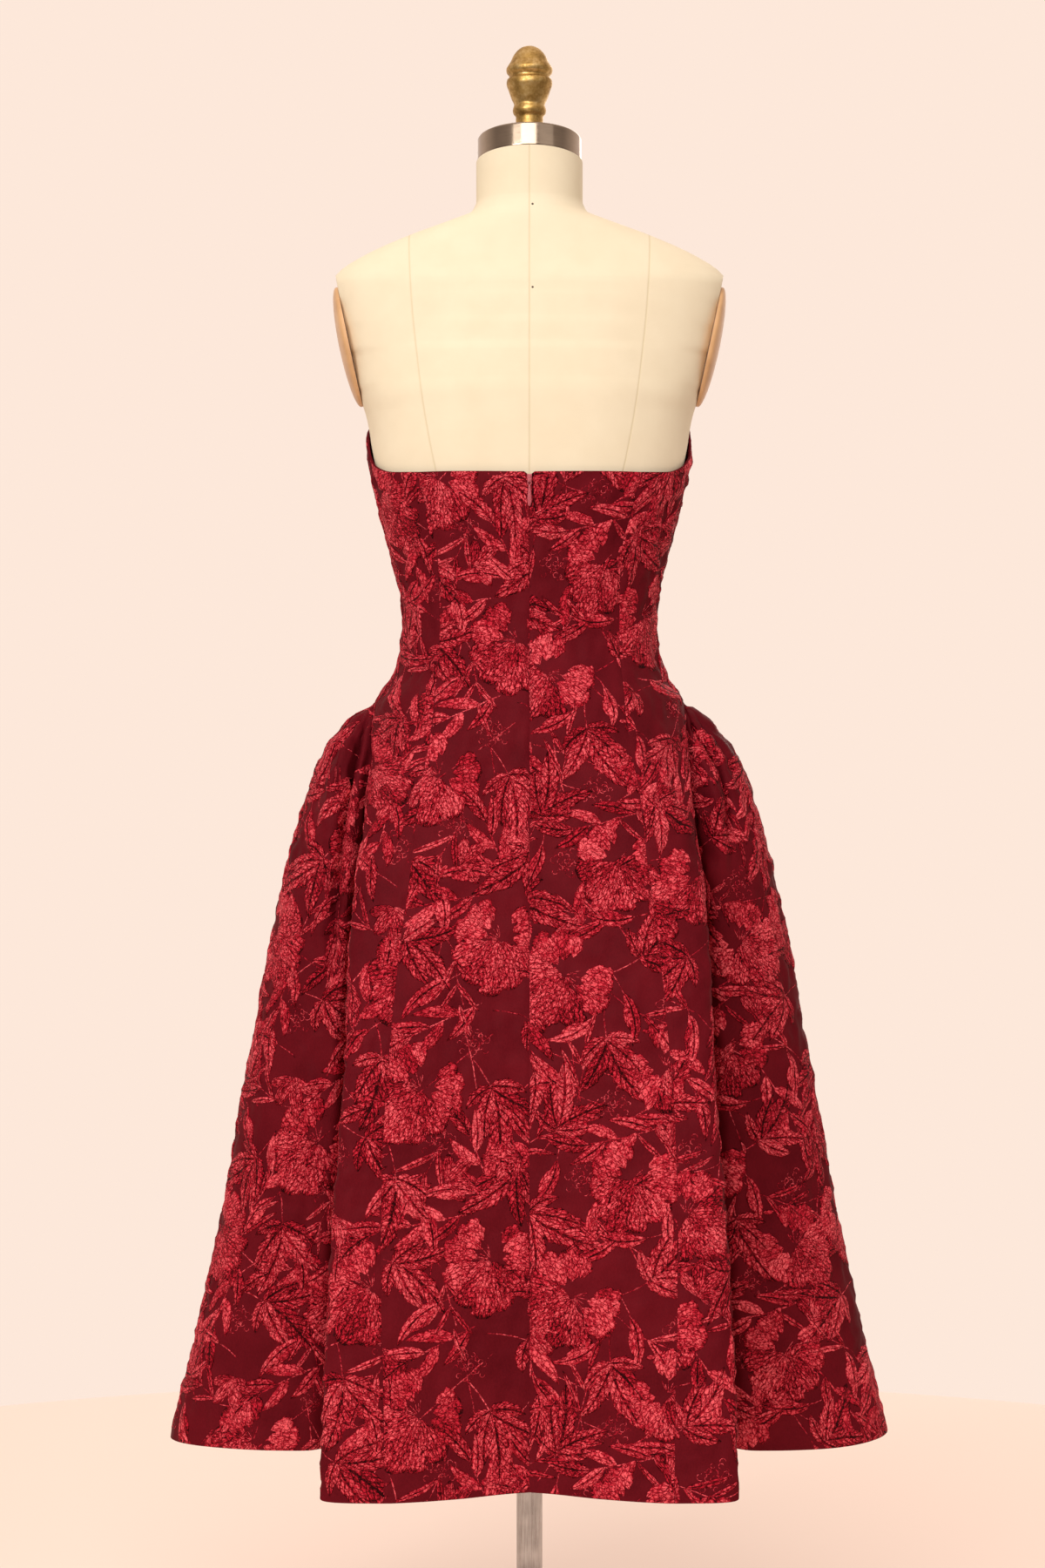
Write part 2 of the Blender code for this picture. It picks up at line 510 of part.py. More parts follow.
def cloth_panel(name, panel, side, rows, material):
    """A panel as a grid, thickened by extruding it and giving each copy its own points."""
    shares = ACROSS[panel]
    if panel == "center_front":
        shares = [*shares, *[2 - share for share in reversed(shares[:-1])]]
    columns = len(shares) - 1
    bm = bmesh.new()
    bmesh.ops.create_grid(bm, x_segments=columns, y_segments=len(rows) - 1, size=0.5)
    inner_verts = list(bm.verts)
    extruded = bmesh.ops.extrude_face_region(bm, geom=bm.faces[:])
    outer_verts = {item for item in extruded["geom"] if isinstance(item, bmesh.types.BMVert)}
    cached = {}
    for vert in [*inner_verts, *outer_verts]:
        column = round((vert.co.x + 0.5) * columns)
        row = rows[round((0.5 - vert.co.y) * (len(rows) - 1))]
        share = shares[column]
        mirror = share > 1
        share = 2 - share if mirror else share
        key = (share, row)
        if key not in cached:
            cached[key] = wall_points(panel, side, share, row)
        place = cached[key][0 if vert in outer_verts else 1]
        flip = mirror != (side == "right")
        vert.co = Vector((-place.x if flip else place.x, place.y, place.z))
    return add_object(name, bm, material)


def zip_tape(material):
    """The tape lies behind the centre back seam, row by row with the panels."""
    beside_zip = ACROSS["center_back"][1]
    heights = [height_of("center_back", "left", beside_zip, row) for row in ALL_ROWS]
    heights = [ZIP_TOP, *[z for z in heights if ZIP_END < z < ZIP_TOP]]
    rows = len(heights) - 1
    bm = bmesh.new()
    bmesh.ops.create_grid(bm, x_segments=2, y_segments=rows, size=0.5)
    near = list(bm.verts)
    extruded = bmesh.ops.extrude_face_region(bm, geom=bm.faces[:])
    far = {item for item in extruded["geom"] if isinstance(item, bmesh.types.BMVert)}
    for vert in [*near, *far]:
        z = heights[round((0.5 - vert.co.y) * rows)]
        x = 2 * TAPE_HALF_WIDTH * vert.co.x
        depth = WALL + TAPE_GAP + (TAPE_THICKNESS if vert in far else 0)
        seam_x = outline("back", z)[1].x
        surface = plan("center_back", "left", abs(x) / (3 * CENTRE_REACH * seam_x), z)
        vert.co = Vector((x, surface.y - depth, z))
    return add_object("zip_tape", bm, material)


def tube_arc(bm, centre, radius, thickness, start, sweep, axis, steps):
    """A round wire bent about an axis through centre. Start is the direction to its first end."""
    start = Vector(start)
    axis = Vector(axis)
    frame = Matrix((start, axis, start.cross(axis))).transposed().to_4x4()
    ring = bmesh.ops.create_circle(bm, segments=8, radius=thickness, cap_ends=False)["verts"]
    place = Matrix.Translation(centre + start * radius) @ frame
    bmesh.ops.transform(bm, matrix=place, verts=ring)
    edges = list({edge for vert in ring for edge in vert.link_edges})
    full = abs(sweep) > math.tau - 0.01
    bmesh.ops.spin(
        bm, geom=[*ring, *edges], cent=centre, axis=axis, angle=sweep, steps=steps, use_merge=full
    )


def zip_slider(material, axis_y):
    """Slider body with the bridge that holds the pull's eye."""
    bm = bmesh.new()
    middle = Vector((0, axis_y - AXIS_STANDOFF - SLIDER_SIZE.y / 2,
                     PULL_AXIS_Z - SLIDER_DROP + SLIDER_SIZE.z / 2))
    bmesh.ops.create_cube(bm, size=1)
    bmesh.ops.scale(bm, vec=SLIDER_SIZE, verts=bm.verts)
    for vert in bm.verts:
        if vert.co.z < 0:
            vert.co.x *= SLIDER_TAPER
    bmesh.ops.bevel(bm, geom=bm.edges[:], offset=SLIDER_BEVEL, segments=2, profile=0.5,
                    affect="EDGES", material=-1)
    bmesh.ops.translate(bm, verts=bm.verts, vec=middle)
    body = add_object("zip_slider", bm, material)

    bm = bmesh.new()
    centre = Vector((0, axis_y, PULL_AXIS_Z))
    first = Vector((0, -math.sin(BRIDGE_OVERRUN), -math.cos(BRIDGE_OVERRUN)))
    sweep = math.pi + 2 * BRIDGE_OVERRUN
    tube_arc(bm, centre, BRIDGE_RADIUS, WIRE_RADIUS, first, sweep, (1, 0, 0), 12)
    bmesh.ops.holes_fill(bm, edges=bm.edges)
    bridge = add_object("zip_bridge_cutter", bm, material)
    bridge.hide_render = True
    bridge.display_type = "WIRE"
    union = body.modifiers.new("bridge", "BOOLEAN")
    union.operation = "UNION"
    union.object = bridge
    return body


def zip_pull(ring_material, tab_material, axis_y):
    """The pull's eye and its drop-shaped tab, with their origins on the hinge axis."""
    axis = Vector((0, axis_y, PULL_AXIS_Z))
    reach = 2 * RING_RADIUS + TAB_LENGTH
    cloth = plan("center_back", "left", 0, PULL_AXIS_Z - reach).y
    rest_y = cloth + TAB_CLEARANCE + TAB_HALF_WIDTH * TAB_FLATNESS
    lean = Matrix.Rotation(math.asin((rest_y - axis_y) / reach), 4, "X")

    bm = bmesh.new()
    hang = Vector((0, 0, -RING_RADIUS))
    tube_arc(bm, hang, RING_RADIUS, WIRE_RADIUS, (0, 0, 1), math.tau, (0, 1, 0), 18)
    bmesh.ops.remove_doubles(bm, verts=bm.verts, dist=1e-6)
    bmesh.ops.transform(bm, matrix=Matrix.Translation(axis) @ lean, verts=bm.verts)
    add_object("zip_pull_ring", bm, ring_material, axis)

    bm = bmesh.new()
    top = -2 * RING_RADIUS - WIRE_RADIUS - TAB_GAP
    profile = [bm.verts.new((0, 0, top))]
    for point in TAB_SHAPE:
        place = (point.radius * TAB_HALF_WIDTH, 0, top - point.height * TAB_LENGTH)
        profile.append(bm.verts.new(place))
    profile.append(bm.verts.new((0, 0, top - TAB_LENGTH)))
    edges = [bm.edges.new(pair) for pair in zip(profile, profile[1:])]
    bmesh.ops.spin(bm, geom=[*profile, *edges], cent=(0, 0, 0), axis=(0, 0, 1),
                   angle=math.tau, steps=14, use_merge=True)
    bmesh.ops.remove_doubles(bm, verts=bm.verts, dist=1e-6)
    bmesh.ops.scale(bm, vec=(1, TAB_FLATNESS, 1), verts=bm.verts)
    bmesh.ops.transform(bm, matrix=Matrix.Translation(axis) @ lean, verts=bm.verts)
    add_object("zip_pull_tab", bm, tab_material, axis)


def covered_ring(z):
    """The form under the cloth: the dress's own outline, moved in by the clearance."""
    clearance = BUST_CLEARANCE if z > BUST_HEIGHT else FORM_CLEARANCE
    quarter = []
    for panel, shares in (("center_back", (0, 0.35, 0.7)), ("side_back", (0, 0.2, 0.36, 0.5, 0.75))):
        quarter += [(panel, share) for share in shares]
    back = [plan(p, "left", t, z) - outward(p, "left", t, z) * clearance for p, t in quarter]
    front = []
    for panel, share in quarter:
        twin = panel.replace("back", "front")
        place = plan(twin, "left", 1 - share, z)
        front.append(place - outward(twin, "left", 1 - share, z) * clearance)
    side = plan("side_back", "left", 1, z) - Vector((clearance, 0, 0))
    half = [*back, side, *reversed(front)]
    half = [Vector((point.x, point.y, z)) for point in half]
    half[0].x = half[-1].x = 0
    mirrored = [Vector((-point.x, point.y, z)) for point in reversed(half[1:-1])]
    return half + mirrored


def bare_ring(ring, directions):
    """A ring of the form given by its half width and depths, at the other rings' directions."""
    points = []
    for toward in directions:
        depth = ring.back if toward.y > 0 else ring.front
        size = abs(toward.x / ring.half_width) ** ring.square + abs(toward.y / depth) ** ring.square
        scale = size ** (-1 / ring.square)
        points.append(Vector((toward.x * scale, toward.y * scale, ring.z)))
    return points


def form_torso(material):
    """Rings bridged from the flat underside to the neck, cut flat at the arms and the neck."""
    directions = [Vector((point.x, point.y, 0)) for point in covered_ring(COVERED_HEIGHTS[0])]
    rings = [bare_ring(ring, directions) for ring in TORSO_BOTTOM]
    rings += [covered_ring(z) for z in COVERED_HEIGHTS]
    rings += [bare_ring(ring, directions) for ring in TORSO_TOP]
    bm = bmesh.new()
    loops = []
    for points in rings:
        verts = [bm.verts.new(point) for point in points]
        loops.append([bm.edges.new((a, b)) for a, b in zip(verts, [*verts[1:], verts[0]])])
    for lower, upper in zip(loops, loops[1:]):
        bmesh.ops.bridge_loops(bm, edges=[*lower, *upper])
    bmesh.ops.holes_fill(bm, edges=[*loops[0], *loops[-1]])
    bmesh.ops.recalc_face_normals(bm, faces=bm.faces)
    arm_line = ARM_CUT_HIGH - ARM_CUT_LOW
    outwards = Vector((arm_line.z, 0, -arm_line.x)).normalized()
    neck_up = Vector((0, -math.sin(CAP_TILT), math.cos(CAP_TILT)))
    cuts = [(ARM_CUT_LOW, outwards), (Vector((-ARM_CUT_LOW.x, 0, ARM_CUT_LOW.z)),
            Vector((-outwards.x, 0, outwards.z))), (Vector((0, 0, NECK_TOP)), neck_up)]
    for place, normal in cuts:
        made = bmesh.ops.bisect_plane(
            bm, geom=[*bm.verts, *bm.edges, *bm.faces], dist=1e-6, plane_co=place,
            plane_no=normal, clear_outer=True,
        )
        edges = [item for item in made["geom_cut"] if isinstance(item, bmesh.types.BMEdge)]
        bmesh.ops.holes_fill(bm, edges=edges)
    return add_object("form_torso", bm, material)


def arm_plate(name, side, material):
    """A domed oval cover over the arm's cut."""
    arm_line = ARM_CUT_HIGH - ARM_CUT_LOW
    tilt = math.atan2(arm_line.x, arm_line.z)
    outwards = Vector((math.cos(tilt), 0, -math.sin(tilt)))
    centre = (ARM_CUT_LOW + ARM_CUT_HIGH) / 2 + outwards * TOUCH_GAP
    bm = bmesh.new()
    bmesh.ops.create_uvsphere(bm, u_segments=20, v_segments=8, radius=1)
    bmesh.ops.rotate(bm, verts=bm.verts, cent=(0, 0, 0), matrix=Matrix.Rotation(math.pi / 2, 3, "Y"))
    made = bmesh.ops.bisect_plane(
        bm, geom=[*bm.verts, *bm.edges, *bm.faces], dist=1e-6, plane_co=(0, 0, 0),
        plane_no=(1, 0, 0), clear_inner=True,
    )
    rim = [item for item in made["geom_cut"] if isinstance(item, bmesh.types.BMEdge)]
    bmesh.ops.scale(bm, verts=bm.verts,
                    vec=(ARM_PLATE_DOME - ARM_PLATE_EDGE, ARM_PLATE_HALF_DEPTH, ARM_PLATE_HALF_HEIGHT))
    bmesh.ops.translate(bm, verts=bm.verts, vec=(ARM_PLATE_EDGE, 0, 0))
    lip = bmesh.ops.extrude_edge_only(bm, edges=rim)
    base = [item for item in lip["geom"] if isinstance(item, bmesh.types.BMVert)]
    bmesh.ops.translate(bm, verts=base, vec=(-ARM_PLATE_EDGE, 0, 0))
    bmesh.ops.holes_fill(bm, edges=bm.edges)
    bmesh.ops.transform(bm, matrix=Matrix.Rotation(tilt, 4, "Y"), verts=bm.verts)
    bmesh.ops.translate(bm, verts=bm.verts, vec=centre)
    if side == "right":
        bmesh.ops.scale(bm, vec=(-1, 1, 1), verts=bm.verts)
    return add_object(name, bm, material)


def turned(name, shape, material, steps):
    """A solid turned about the vertical axis from heights and radii."""
    bm = bmesh.new()
    profile = [bm.verts.new((0, 0, shape[0].height))]
    profile += [bm.verts.new((point.radius, 0, point.height)) for point in shape]
    profile.append(bm.verts.new((0, 0, shape[-1].height)))
    edges = [bm.edges.new(pair) for pair in zip(profile, profile[1:])]
    bmesh.ops.spin(bm, geom=[*profile, *edges], cent=(0, 0, 0), axis=(0, 0, 1),
                   angle=math.tau, steps=steps, use_merge=True)
    bmesh.ops.remove_doubles(bm, verts=bm.verts, dist=1e-6)
    return add_object(name, bm, material)


def neck_cap(material):
    """A tilted steel cap with a level boss in its middle that carries the finial."""
    bm = bmesh.new()
    bmesh.ops.create_cone(bm, cap_ends=True, segments=40, radius1=CAP_RADIUS, radius2=CAP_RADIUS,
                          depth=CAP_HEIGHT)
    rims = [edge for edge in bm.edges if abs(edge.verts[0].co.z - edge.verts[1].co.z) < 1e-6]
    bmesh.ops.bevel(bm, geom=rims, offset=CAP_BEVEL, segments=2, profile=0.5, affect="EDGES",
                    material=-1)
    bmesh.ops.translate(bm, verts=bm.verts, vec=(0, 0, CAP_HEIGHT / 2 + TOUCH_GAP))
    bmesh.ops.rotate(bm, verts=bm.verts, cent=(0, 0, 0), matrix=Matrix.Rotation(CAP_TILT, 3, "X"))
    bmesh.ops.translate(bm, verts=bm.verts, vec=(0, 0, NECK_TOP))
    cap = add_object("neck_cap", bm, material)

    bm = bmesh.new()
    foot = NECK_TOP + CAP_HEIGHT / 2
    boss_top = FINIAL_BASE - TOUCH_GAP
    bmesh.ops.create_cone(bm, cap_ends=True, segments=24, radius1=BOSS_RADIUS, radius2=BOSS_RADIUS,
                          depth=boss_top - foot)
    bmesh.ops.translate(bm, verts=bm.verts, vec=(0, 0, (boss_top + foot) / 2))
    boss = add_object("cap_boss_cutter", bm, material)
    boss.hide_render = True
    boss.display_type = "WIRE"
    union = cap.modifiers.new("boss", "BOOLEAN")
    union.operation = "UNION"
    union.object = boss
    return cap


def main():
    clear_scene()
    cloth = finish("burgundy jacquard", (0.32, 0.016, 0.035), 0.5)
    tape = finish("woven zip tape", (0.12, 0.01, 0.02), 0.8)
    metal = finish("nickel plated metal", (0.62, 0.58, 0.56), 0.3, 1.0)
    enamel = finish("dusty pink enamel", (0.45, 0.17, 0.19), 0.3)
    linen = finish("cream linen", (0.83, 0.68, 0.44), 0.85)
    tan = finish("tan arm cover", (0.6, 0.38, 0.22), 0.6)
    steel = finish("brushed steel", (0.6, 0.57, 0.55), 0.3, 1.0)
    brass = finish("aged brass", (0.36, 0.22, 0.07), 0.35, 1.0)

    skirt_rows = ALL_ROWS[len(BODICE_SHARES):]
    for side in ("left", "right"):
        for panel in ("center_back", "side_back", "side_front"):
            cloth_panel(f"{panel}_{side}", panel, side, ALL_ROWS, cloth)
        cloth_panel(f"side_skirt_{side}", "side_skirt", side, skirt_rows, cloth)
    cloth_panel("center_front", "center_front", "left", ALL_ROWS, cloth)

    zip_tape(tape)
    slider_back = plan("center_back", "left", 0, PULL_AXIS_Z + SLIDER_SIZE.z - SLIDER_DROP).y
    axis_y = slider_back + SEAM_GAP + SLIDER_SIZE.y + AXIS_STANDOFF
    zip_slider(metal, axis_y)
    zip_pull(metal, enamel, axis_y)

    form_torso(linen)
    arm_plate("arm_plate_left", "left", tan)
    arm_plate("arm_plate_right", "right", tan)
    neck_cap(steel)
    turned("finial", [Turning(FINIAL_BASE + point.height, point.radius) for point in FINIAL], brass, 20)
    turned("pole", [Turning(HUB_TOP + TOUCH_GAP, POLE_RADIUS),
                    Turning(FORM_BOTTOM - TOUCH_GAP, POLE_RADIUS)], steel, 24)
    turned("stand_base", STAND_BASE, steel, 48)


main()
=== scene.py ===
"""Looks for the corset dress on its dress form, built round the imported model.

Metres, +Z up. The zip and the wearer's back face +Y, and the wearer's left is +X.
"""

import math
from collections import namedtuple

import bmesh
import bpy
import numpy as np
from mathutils import Matrix, Vector, noise


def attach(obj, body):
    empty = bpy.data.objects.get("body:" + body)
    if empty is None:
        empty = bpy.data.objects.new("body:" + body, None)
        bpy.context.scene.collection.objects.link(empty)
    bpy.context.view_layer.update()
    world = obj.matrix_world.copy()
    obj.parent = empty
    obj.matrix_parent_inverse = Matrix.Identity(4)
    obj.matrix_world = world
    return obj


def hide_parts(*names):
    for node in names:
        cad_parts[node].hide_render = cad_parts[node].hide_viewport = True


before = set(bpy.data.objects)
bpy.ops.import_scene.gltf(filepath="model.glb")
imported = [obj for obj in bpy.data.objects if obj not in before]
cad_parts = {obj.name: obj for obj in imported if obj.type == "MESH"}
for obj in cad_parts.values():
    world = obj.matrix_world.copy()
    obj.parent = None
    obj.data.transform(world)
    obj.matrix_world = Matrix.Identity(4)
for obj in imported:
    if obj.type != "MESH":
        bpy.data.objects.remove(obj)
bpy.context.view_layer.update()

# Stand base: a round steel plate with a turned hub that grips the pole, brushed and clear
# lacquered. It stands flat on the floor.
Turning = namedtuple("Turning", "height radius")
BASE_RADIUS = 0.2000
BASE_THICKNESS = 0.0100
HUB_RADIUS = 0.0300
HUB_TOP = 0.0600
BASE_SHAPE = [
    Turning(0.0000, BASE_RADIUS - 0.0020),
    Turning(0.0006, BASE_RADIUS - 0.0006),
    Turning(0.0020, BASE_RADIUS),
    Turning(BASE_THICKNESS - 0.0030, BASE_RADIUS),
    Turning(BASE_THICKNESS - 0.0008, BASE_RADIUS - 0.0012),
    Turning(BASE_THICKNESS, BASE_RADIUS - 0.0040),
    Turning(BASE_THICKNESS + 0.0008, 0.1000),
    Turning(BASE_THICKNESS + 0.0020, HUB_RADIUS + 0.0060),
    Turning(BASE_THICKNESS + 0.0045, HUB_RADIUS + 0.0015),
    Turning(BASE_THICKNESS + 0.0100, HUB_RADIUS),
    Turning(HUB_TOP - 0.0040, HUB_RADIUS - 0.0050),
    Turning(HUB_TOP - 0.0010, HUB_RADIUS - 0.0062),
    Turning(HUB_TOP, HUB_RADIUS - 0.0090),
]


def linear(code):
    """An sRGB hex colour as Blender's linear one."""
    parts = [int(code[i:i + 2], 16) / 255 for i in (1, 3, 5)]
    return (*[p / 12.92 if p <= 0.04045 else ((p + 0.055) / 1.055) ** 2.4 for p in parts], 1)


def add_node(tree, kind, inputs=None, stops=(), **settings):
    """A shader node with its settings. An input is a value, a socket, or a node whose first output
    it takes. Stops are the places and colours of a colour ramp."""
    made = tree.nodes.new("ShaderNode" + kind)
    for name, value in settings.items():
        setattr(made, name, value)
    for key, value in (inputs or {}).items():
        value = value.outputs[0] if isinstance(value, bpy.types.Node) else value
        if isinstance(value, bpy.types.NodeSocket):
            tree.links.new(value, made.inputs[key])
        else:
            made.inputs[key].default_value = value
    for k, (position, code) in enumerate(stops):
        element = made.color_ramp.elements[k] if k < 2 else made.color_ramp.elements.new(position)
        element.position = position
        element.color = linear(code)
    return made


def new_finish(name, **settings):
    """A material, its node tree, its shader and the socket of Object coordinates."""
    made = bpy.data.materials.new(name)
    made.use_nodes = True
    tree = made.node_tree
    shader = tree.nodes["Principled BSDF"]
    for key, value in settings.items():
        shader.inputs[key.replace("_", " ")].default_value = value
    place = add_node(tree, "TexCoord").outputs["Object"]
    return made, tree, shader, place


def reckon(tree, operation, *values):
    """A Math node on its values in turn."""
    return add_node(tree, "Math", dict(enumerate(values)), operation=operation)


def spread(tree, value, low, high, new_low=0.0, new_high=1.0):
    """A value's range drawn out to a new one."""
    return add_node(tree, "MapRange", {"Value": value, "From Min": low, "From Max": high,
                                       "To Min": new_low, "To Max": new_high})


def speckle(tree, place, scale, detail, **inputs):
    return add_node(tree, "TexNoise", {"Vector": place, "Scale": scale, "Detail": detail, **inputs})


def blend(tree, share, one, other):
    return add_node(tree, "Mix", {0: share, 2: one, 3: other})


def tones(tree, value, *stops):
    return add_node(tree, "ValToRGB", {"Fac": value}, stops=stops)


def dress(tree, shader, tone, rough=None, bump=None):
    """Joins a tone to the shader, and a roughness and a bump of a height, strength and distance."""
    joined = {"Base Color": tone, "Roughness": rough}
    if bump is not None:
        bump = dict(zip(("Height", "Strength", "Distance"), bump))
        joined["Normal"] = add_node(tree, "Bump", bump)
    for name, value in joined.items():
        if value is not None:
            value = value.outputs[0] if isinstance(value, bpy.types.Node) else value
            tree.links.new(value, shader.inputs[name])


def brushed_metal(name, dark, light, grain, roughness, depth=0.12, turn=0.0, tilt=0.0):
    """Steel drawn past an abrasive belt: fine scratches that stretch its highlights. A turn of 0.25
    is for scratches that run round, and the tilt is the piece's own."""
    made, tree, shader, place = new_finish(name, Metallic=1.0, Anisotropic=0.55,
                                           Anisotropic_Rotation=turn)
    # 0.25 mm scratches, drawn 3 times as coarse so that they show
    drawn = add_node(tree, "Mapping", {"Vector": place, "Rotation": (tilt, 0, 0),
                                       "Scale": [1 / scale for scale in grain]},
                     vector_type="TEXTURE")
    streak = speckle(tree, drawn, 1.0, 4.0)
    mixed = blend(tree, 0.5, streak, speckle(tree, place, 35.0, 3.0))
    rough = spread(tree, streak, 0.0, 1.0, roughness - 0.08, roughness + 0.1)
    dress(tree, shader, tones(tree, mixed, (0.36, dark), (0.64, light)), rough,
          (streak, depth, 0.0002))
    return made


def add_piece(name, bm, material, body, replaced=(), smooth_angle=40):
    """Makes a piece from its mesh, gives it its finish, and hangs it on its body."""
    mesh = bpy.data.meshes.new(name)
    bm.to_mesh(mesh)
    bm.free()
    mesh.shade_smooth()
    mesh.set_sharp_from_angle(angle=math.radians(smooth_angle))
    mesh.materials.append(material)
    piece = bpy.data.objects.new(name, mesh)
    bpy.context.scene.collection.objects.link(piece)
    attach(piece, body)
    if replaced:
        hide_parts(*replaced)
    return piece


def turned(shape, steps):
    """A mesh spun about the vertical axis from heights and radii."""
    bm = bmesh.new()
    profile = [bm.verts.new((0, 0, shape[0].height))]
    profile += [bm.verts.new((point.radius, 0, point.height)) for point in shape]
    profile.append(bm.verts.new((0, 0, shape[-1].height)))
    edges = [bm.edges.new(pair) for pair in zip(profile, profile[1:])]
    bmesh.ops.spin(bm, geom=[*profile, *edges], cent=(0, 0, 0), axis=(0, 0, 1),
                   angle=math.tau, steps=steps, use_merge=True)
    bmesh.ops.remove_doubles(bm, verts=bm.verts, dist=1e-6)
    bmesh.ops.recalc_face_normals(bm, faces=bm.faces)
    return bm


DRESS_BODY = "dress_on_form"
plate_steel = brushed_metal("brushed steel plate", "#8c8783", "#b4b0ac", (900, 900, 900), 0.34)
add_piece("stand_base_plate", turned(BASE_SHAPE, 144), plate_steel, DRESS_BODY,
          ["stand_base"])

# Pole: a straight steel tube, brushed along its length, that carries the form above the base.
POLE_RADIUS = 0.0127
POLE_FOOT = 0.0603
POLE_TOP = 0.8097
POLE_SHAPE = [Turning(POLE_FOOT, POLE_RADIUS - 0.0006), Turning(POLE_FOOT + 0.0006, POLE_RADIUS),
              Turning(POLE_TOP - 0.0006, POLE_RADIUS), Turning(POLE_TOP, POLE_RADIUS - 0.0006)]
pole_steel = brushed_metal("brushed steel tube", "#8f8a87", "#c3bfbc", (1100, 1100, 30), 0.28)
add_piece("pole_tube", turned(POLE_SHAPE, 48), pole_steel, DRESS_BODY, ["pole"])

# Dress panels: a polyester and cotton jacquard on a firm backing, cut in long panels and sewn
# with pressed seams. The panels are boned above the hip; below it each side panel turns in a
# soft fold to the seam of a full side skirt that is pleated to a point at the hip.
WALL = 0.0020
SEAM_LAP = 0.0001      # sewn panels reach this far into each other, so that no light comes through
HIP = 1.0040
HEM_CENTRE = 0.2686
HEM_ZIP = 0.2725
HEM_SIDE = 0.2820
NOTCH_WIDTH = 0.0045
NOTCH_DEPTH = 0.0043
CENTRE_REACH = 0.38
Outline = namedtuple("Outline", "z centre seam_x seam_y fold_x fold_y turn soft tuck_x tuck_y")
# The plan at each height. Both faces share the height, the turn and softness of the outer fold,
# and how far out the tuck lies; then come the centre's depth, the seam's place, the fold's place
# and the tuck's depth, behind and in front. In tenths of a millimetre, and degrees.
LEVELS = [
    (13300, 71, 180, 1860, (1030, 1300, 800, 1790, 320, 0), (1260, 820, 1310, 1790, 340, 0)),
    (12900, 71, 180, 1690, (1010, 1230, 750, 1630, 300, 0), (1310, 850, 1395, 1630, 340, 0)),
    (12620, 71, 180, 1612, (975, 1190, 725, 1557, 290, 0), (1320, 860, 1420, 1557, 330, 0)),
    (12400, 71, 180, 1590, (960, 1130, 739, 1540, 290, 0), (1310, 865, 1415, 1540, 330, 0)),
    (12220, 71, 180, 1555, (950, 1093, 736, 1508, 285, 0), (1295, 860, 1390, 1508, 325, 0)),
    (11800, 71, 180, 1449, (910, 975, 728, 1406, 280, 0), (1225, 820, 1255, 1406, 310, 0)),
    (11460, 71, 180, 1359, (875, 893, 710, 1318, 280, 0), (1140, 770, 1105, 1318, 300, 0)),
    (11110, 71, 180, 1277, (850, 878, 669, 1239, 270, 0), (1070, 735, 985, 1239, 290, 0)),
    (10810, 71, 180, 1247, (845, 872, 655, 1210, 265, 0), (1045, 720, 935, 1210, 285, 0)),
    (10600, 71, 180, 1264, (865, 872, 678, 1226, 265, 0), (1055, 725, 950, 1226, 285, 0)),
    (10420, 71, 180, 1296, (910, 880, 723, 1257, 265, 0), (1080, 740, 985, 1257, 285, 0)),
    (10250, 72, 190, 1367, (985, 895, 805, 1326, 260, 0), (1115, 760, 1030, 1326, 280, 0)),
    (10080, 73, 200, 1485, (1080, 910, 940, 1455, 250, 0), (1148, 785, 1080, 1455, 260, 0)),
    (10040, 73, 200, 1505, (1100, 912, 970, 1485, 260, 20), (1155, 790, 1090, 1485, 270, 20)),
    (9850, 72, 200, 1510, (1145, 925, 1050, 1512, 410, 235), (1180, 810, 1140, 1512, 405, 230)),
    (9700, 70, 180, 1508, (1175, 945, 1110, 1512, 560, 380), (1200, 830, 1175, 1512, 545, 370)),
    (9450, 66, 170, 1505, (1225, 985, 1210, 1510, 770, 520), (1235, 875, 1240, 1510, 755, 500)),
    (9200, 62, 160, 1500, (1280, 1036, 1300, 1515, 970, 600), (1280, 930, 1305, 1515, 945, 575)),
    (8800, 56, 150, 1490, (1385, 1075, 1435, 1550, 1200, 650), (1370, 985, 1420, 1550, 1150, 625)),
    (8400, 52, 140, 1480, (1485, 1120, 1545, 1606, 1370, 675), (1455, 1040, 1515, 1600, 1310, 650)),
    (7570, 50, 130, 1470, (1660, 1220, 1750, 1674, 1620, 690), (1605, 1150, 1690, 1665, 1535, 665)),
    (6700, 49, 120, 1465, (1830, 1300, 1930, 1694, 1850, 700), (1745, 1235, 1845, 1690, 1740, 670)),
    (6000, 48, 120, 1465, (1935, 1345, 2050, 1740, 2000, 705), (1840, 1285, 1950, 1730, 1875, 675)),
    (5200, 48, 120, 1475, (2030, 1360, 2170, 1796, 2150, 710), (1925, 1310, 2055, 1780, 2010, 680)),
    (4400, 48, 120, 1485, (2090, 1350, 2260, 1830, 2250, 710), (1985, 1310, 2135, 1815, 2105, 680)),
    (3600, 48, 120, 1495, (2120, 1330, 2340, 1870, 2340, 710), (2020, 1300, 2205, 1850, 2185, 680)),
    (2650, 48, 120, 1500, (2140, 1315, 2410, 1906, 2400, 710), (2045, 1290, 2265, 1880, 2245, 680)),
]
TENTH = 10000            # tenths of a millimetre in a metre


def outlines(face):
    """One face's rows of the plan, in metres."""
    made = []
    for z, turn, soft, tuck_x, *faces in LEVELS:
        *places, tuck_y = (value / TENTH for value in faces[face])
        made.append(Outline(z / TENTH, *places, turn, soft / TENTH, tuck_x / TENTH, tuck_y))
    return made


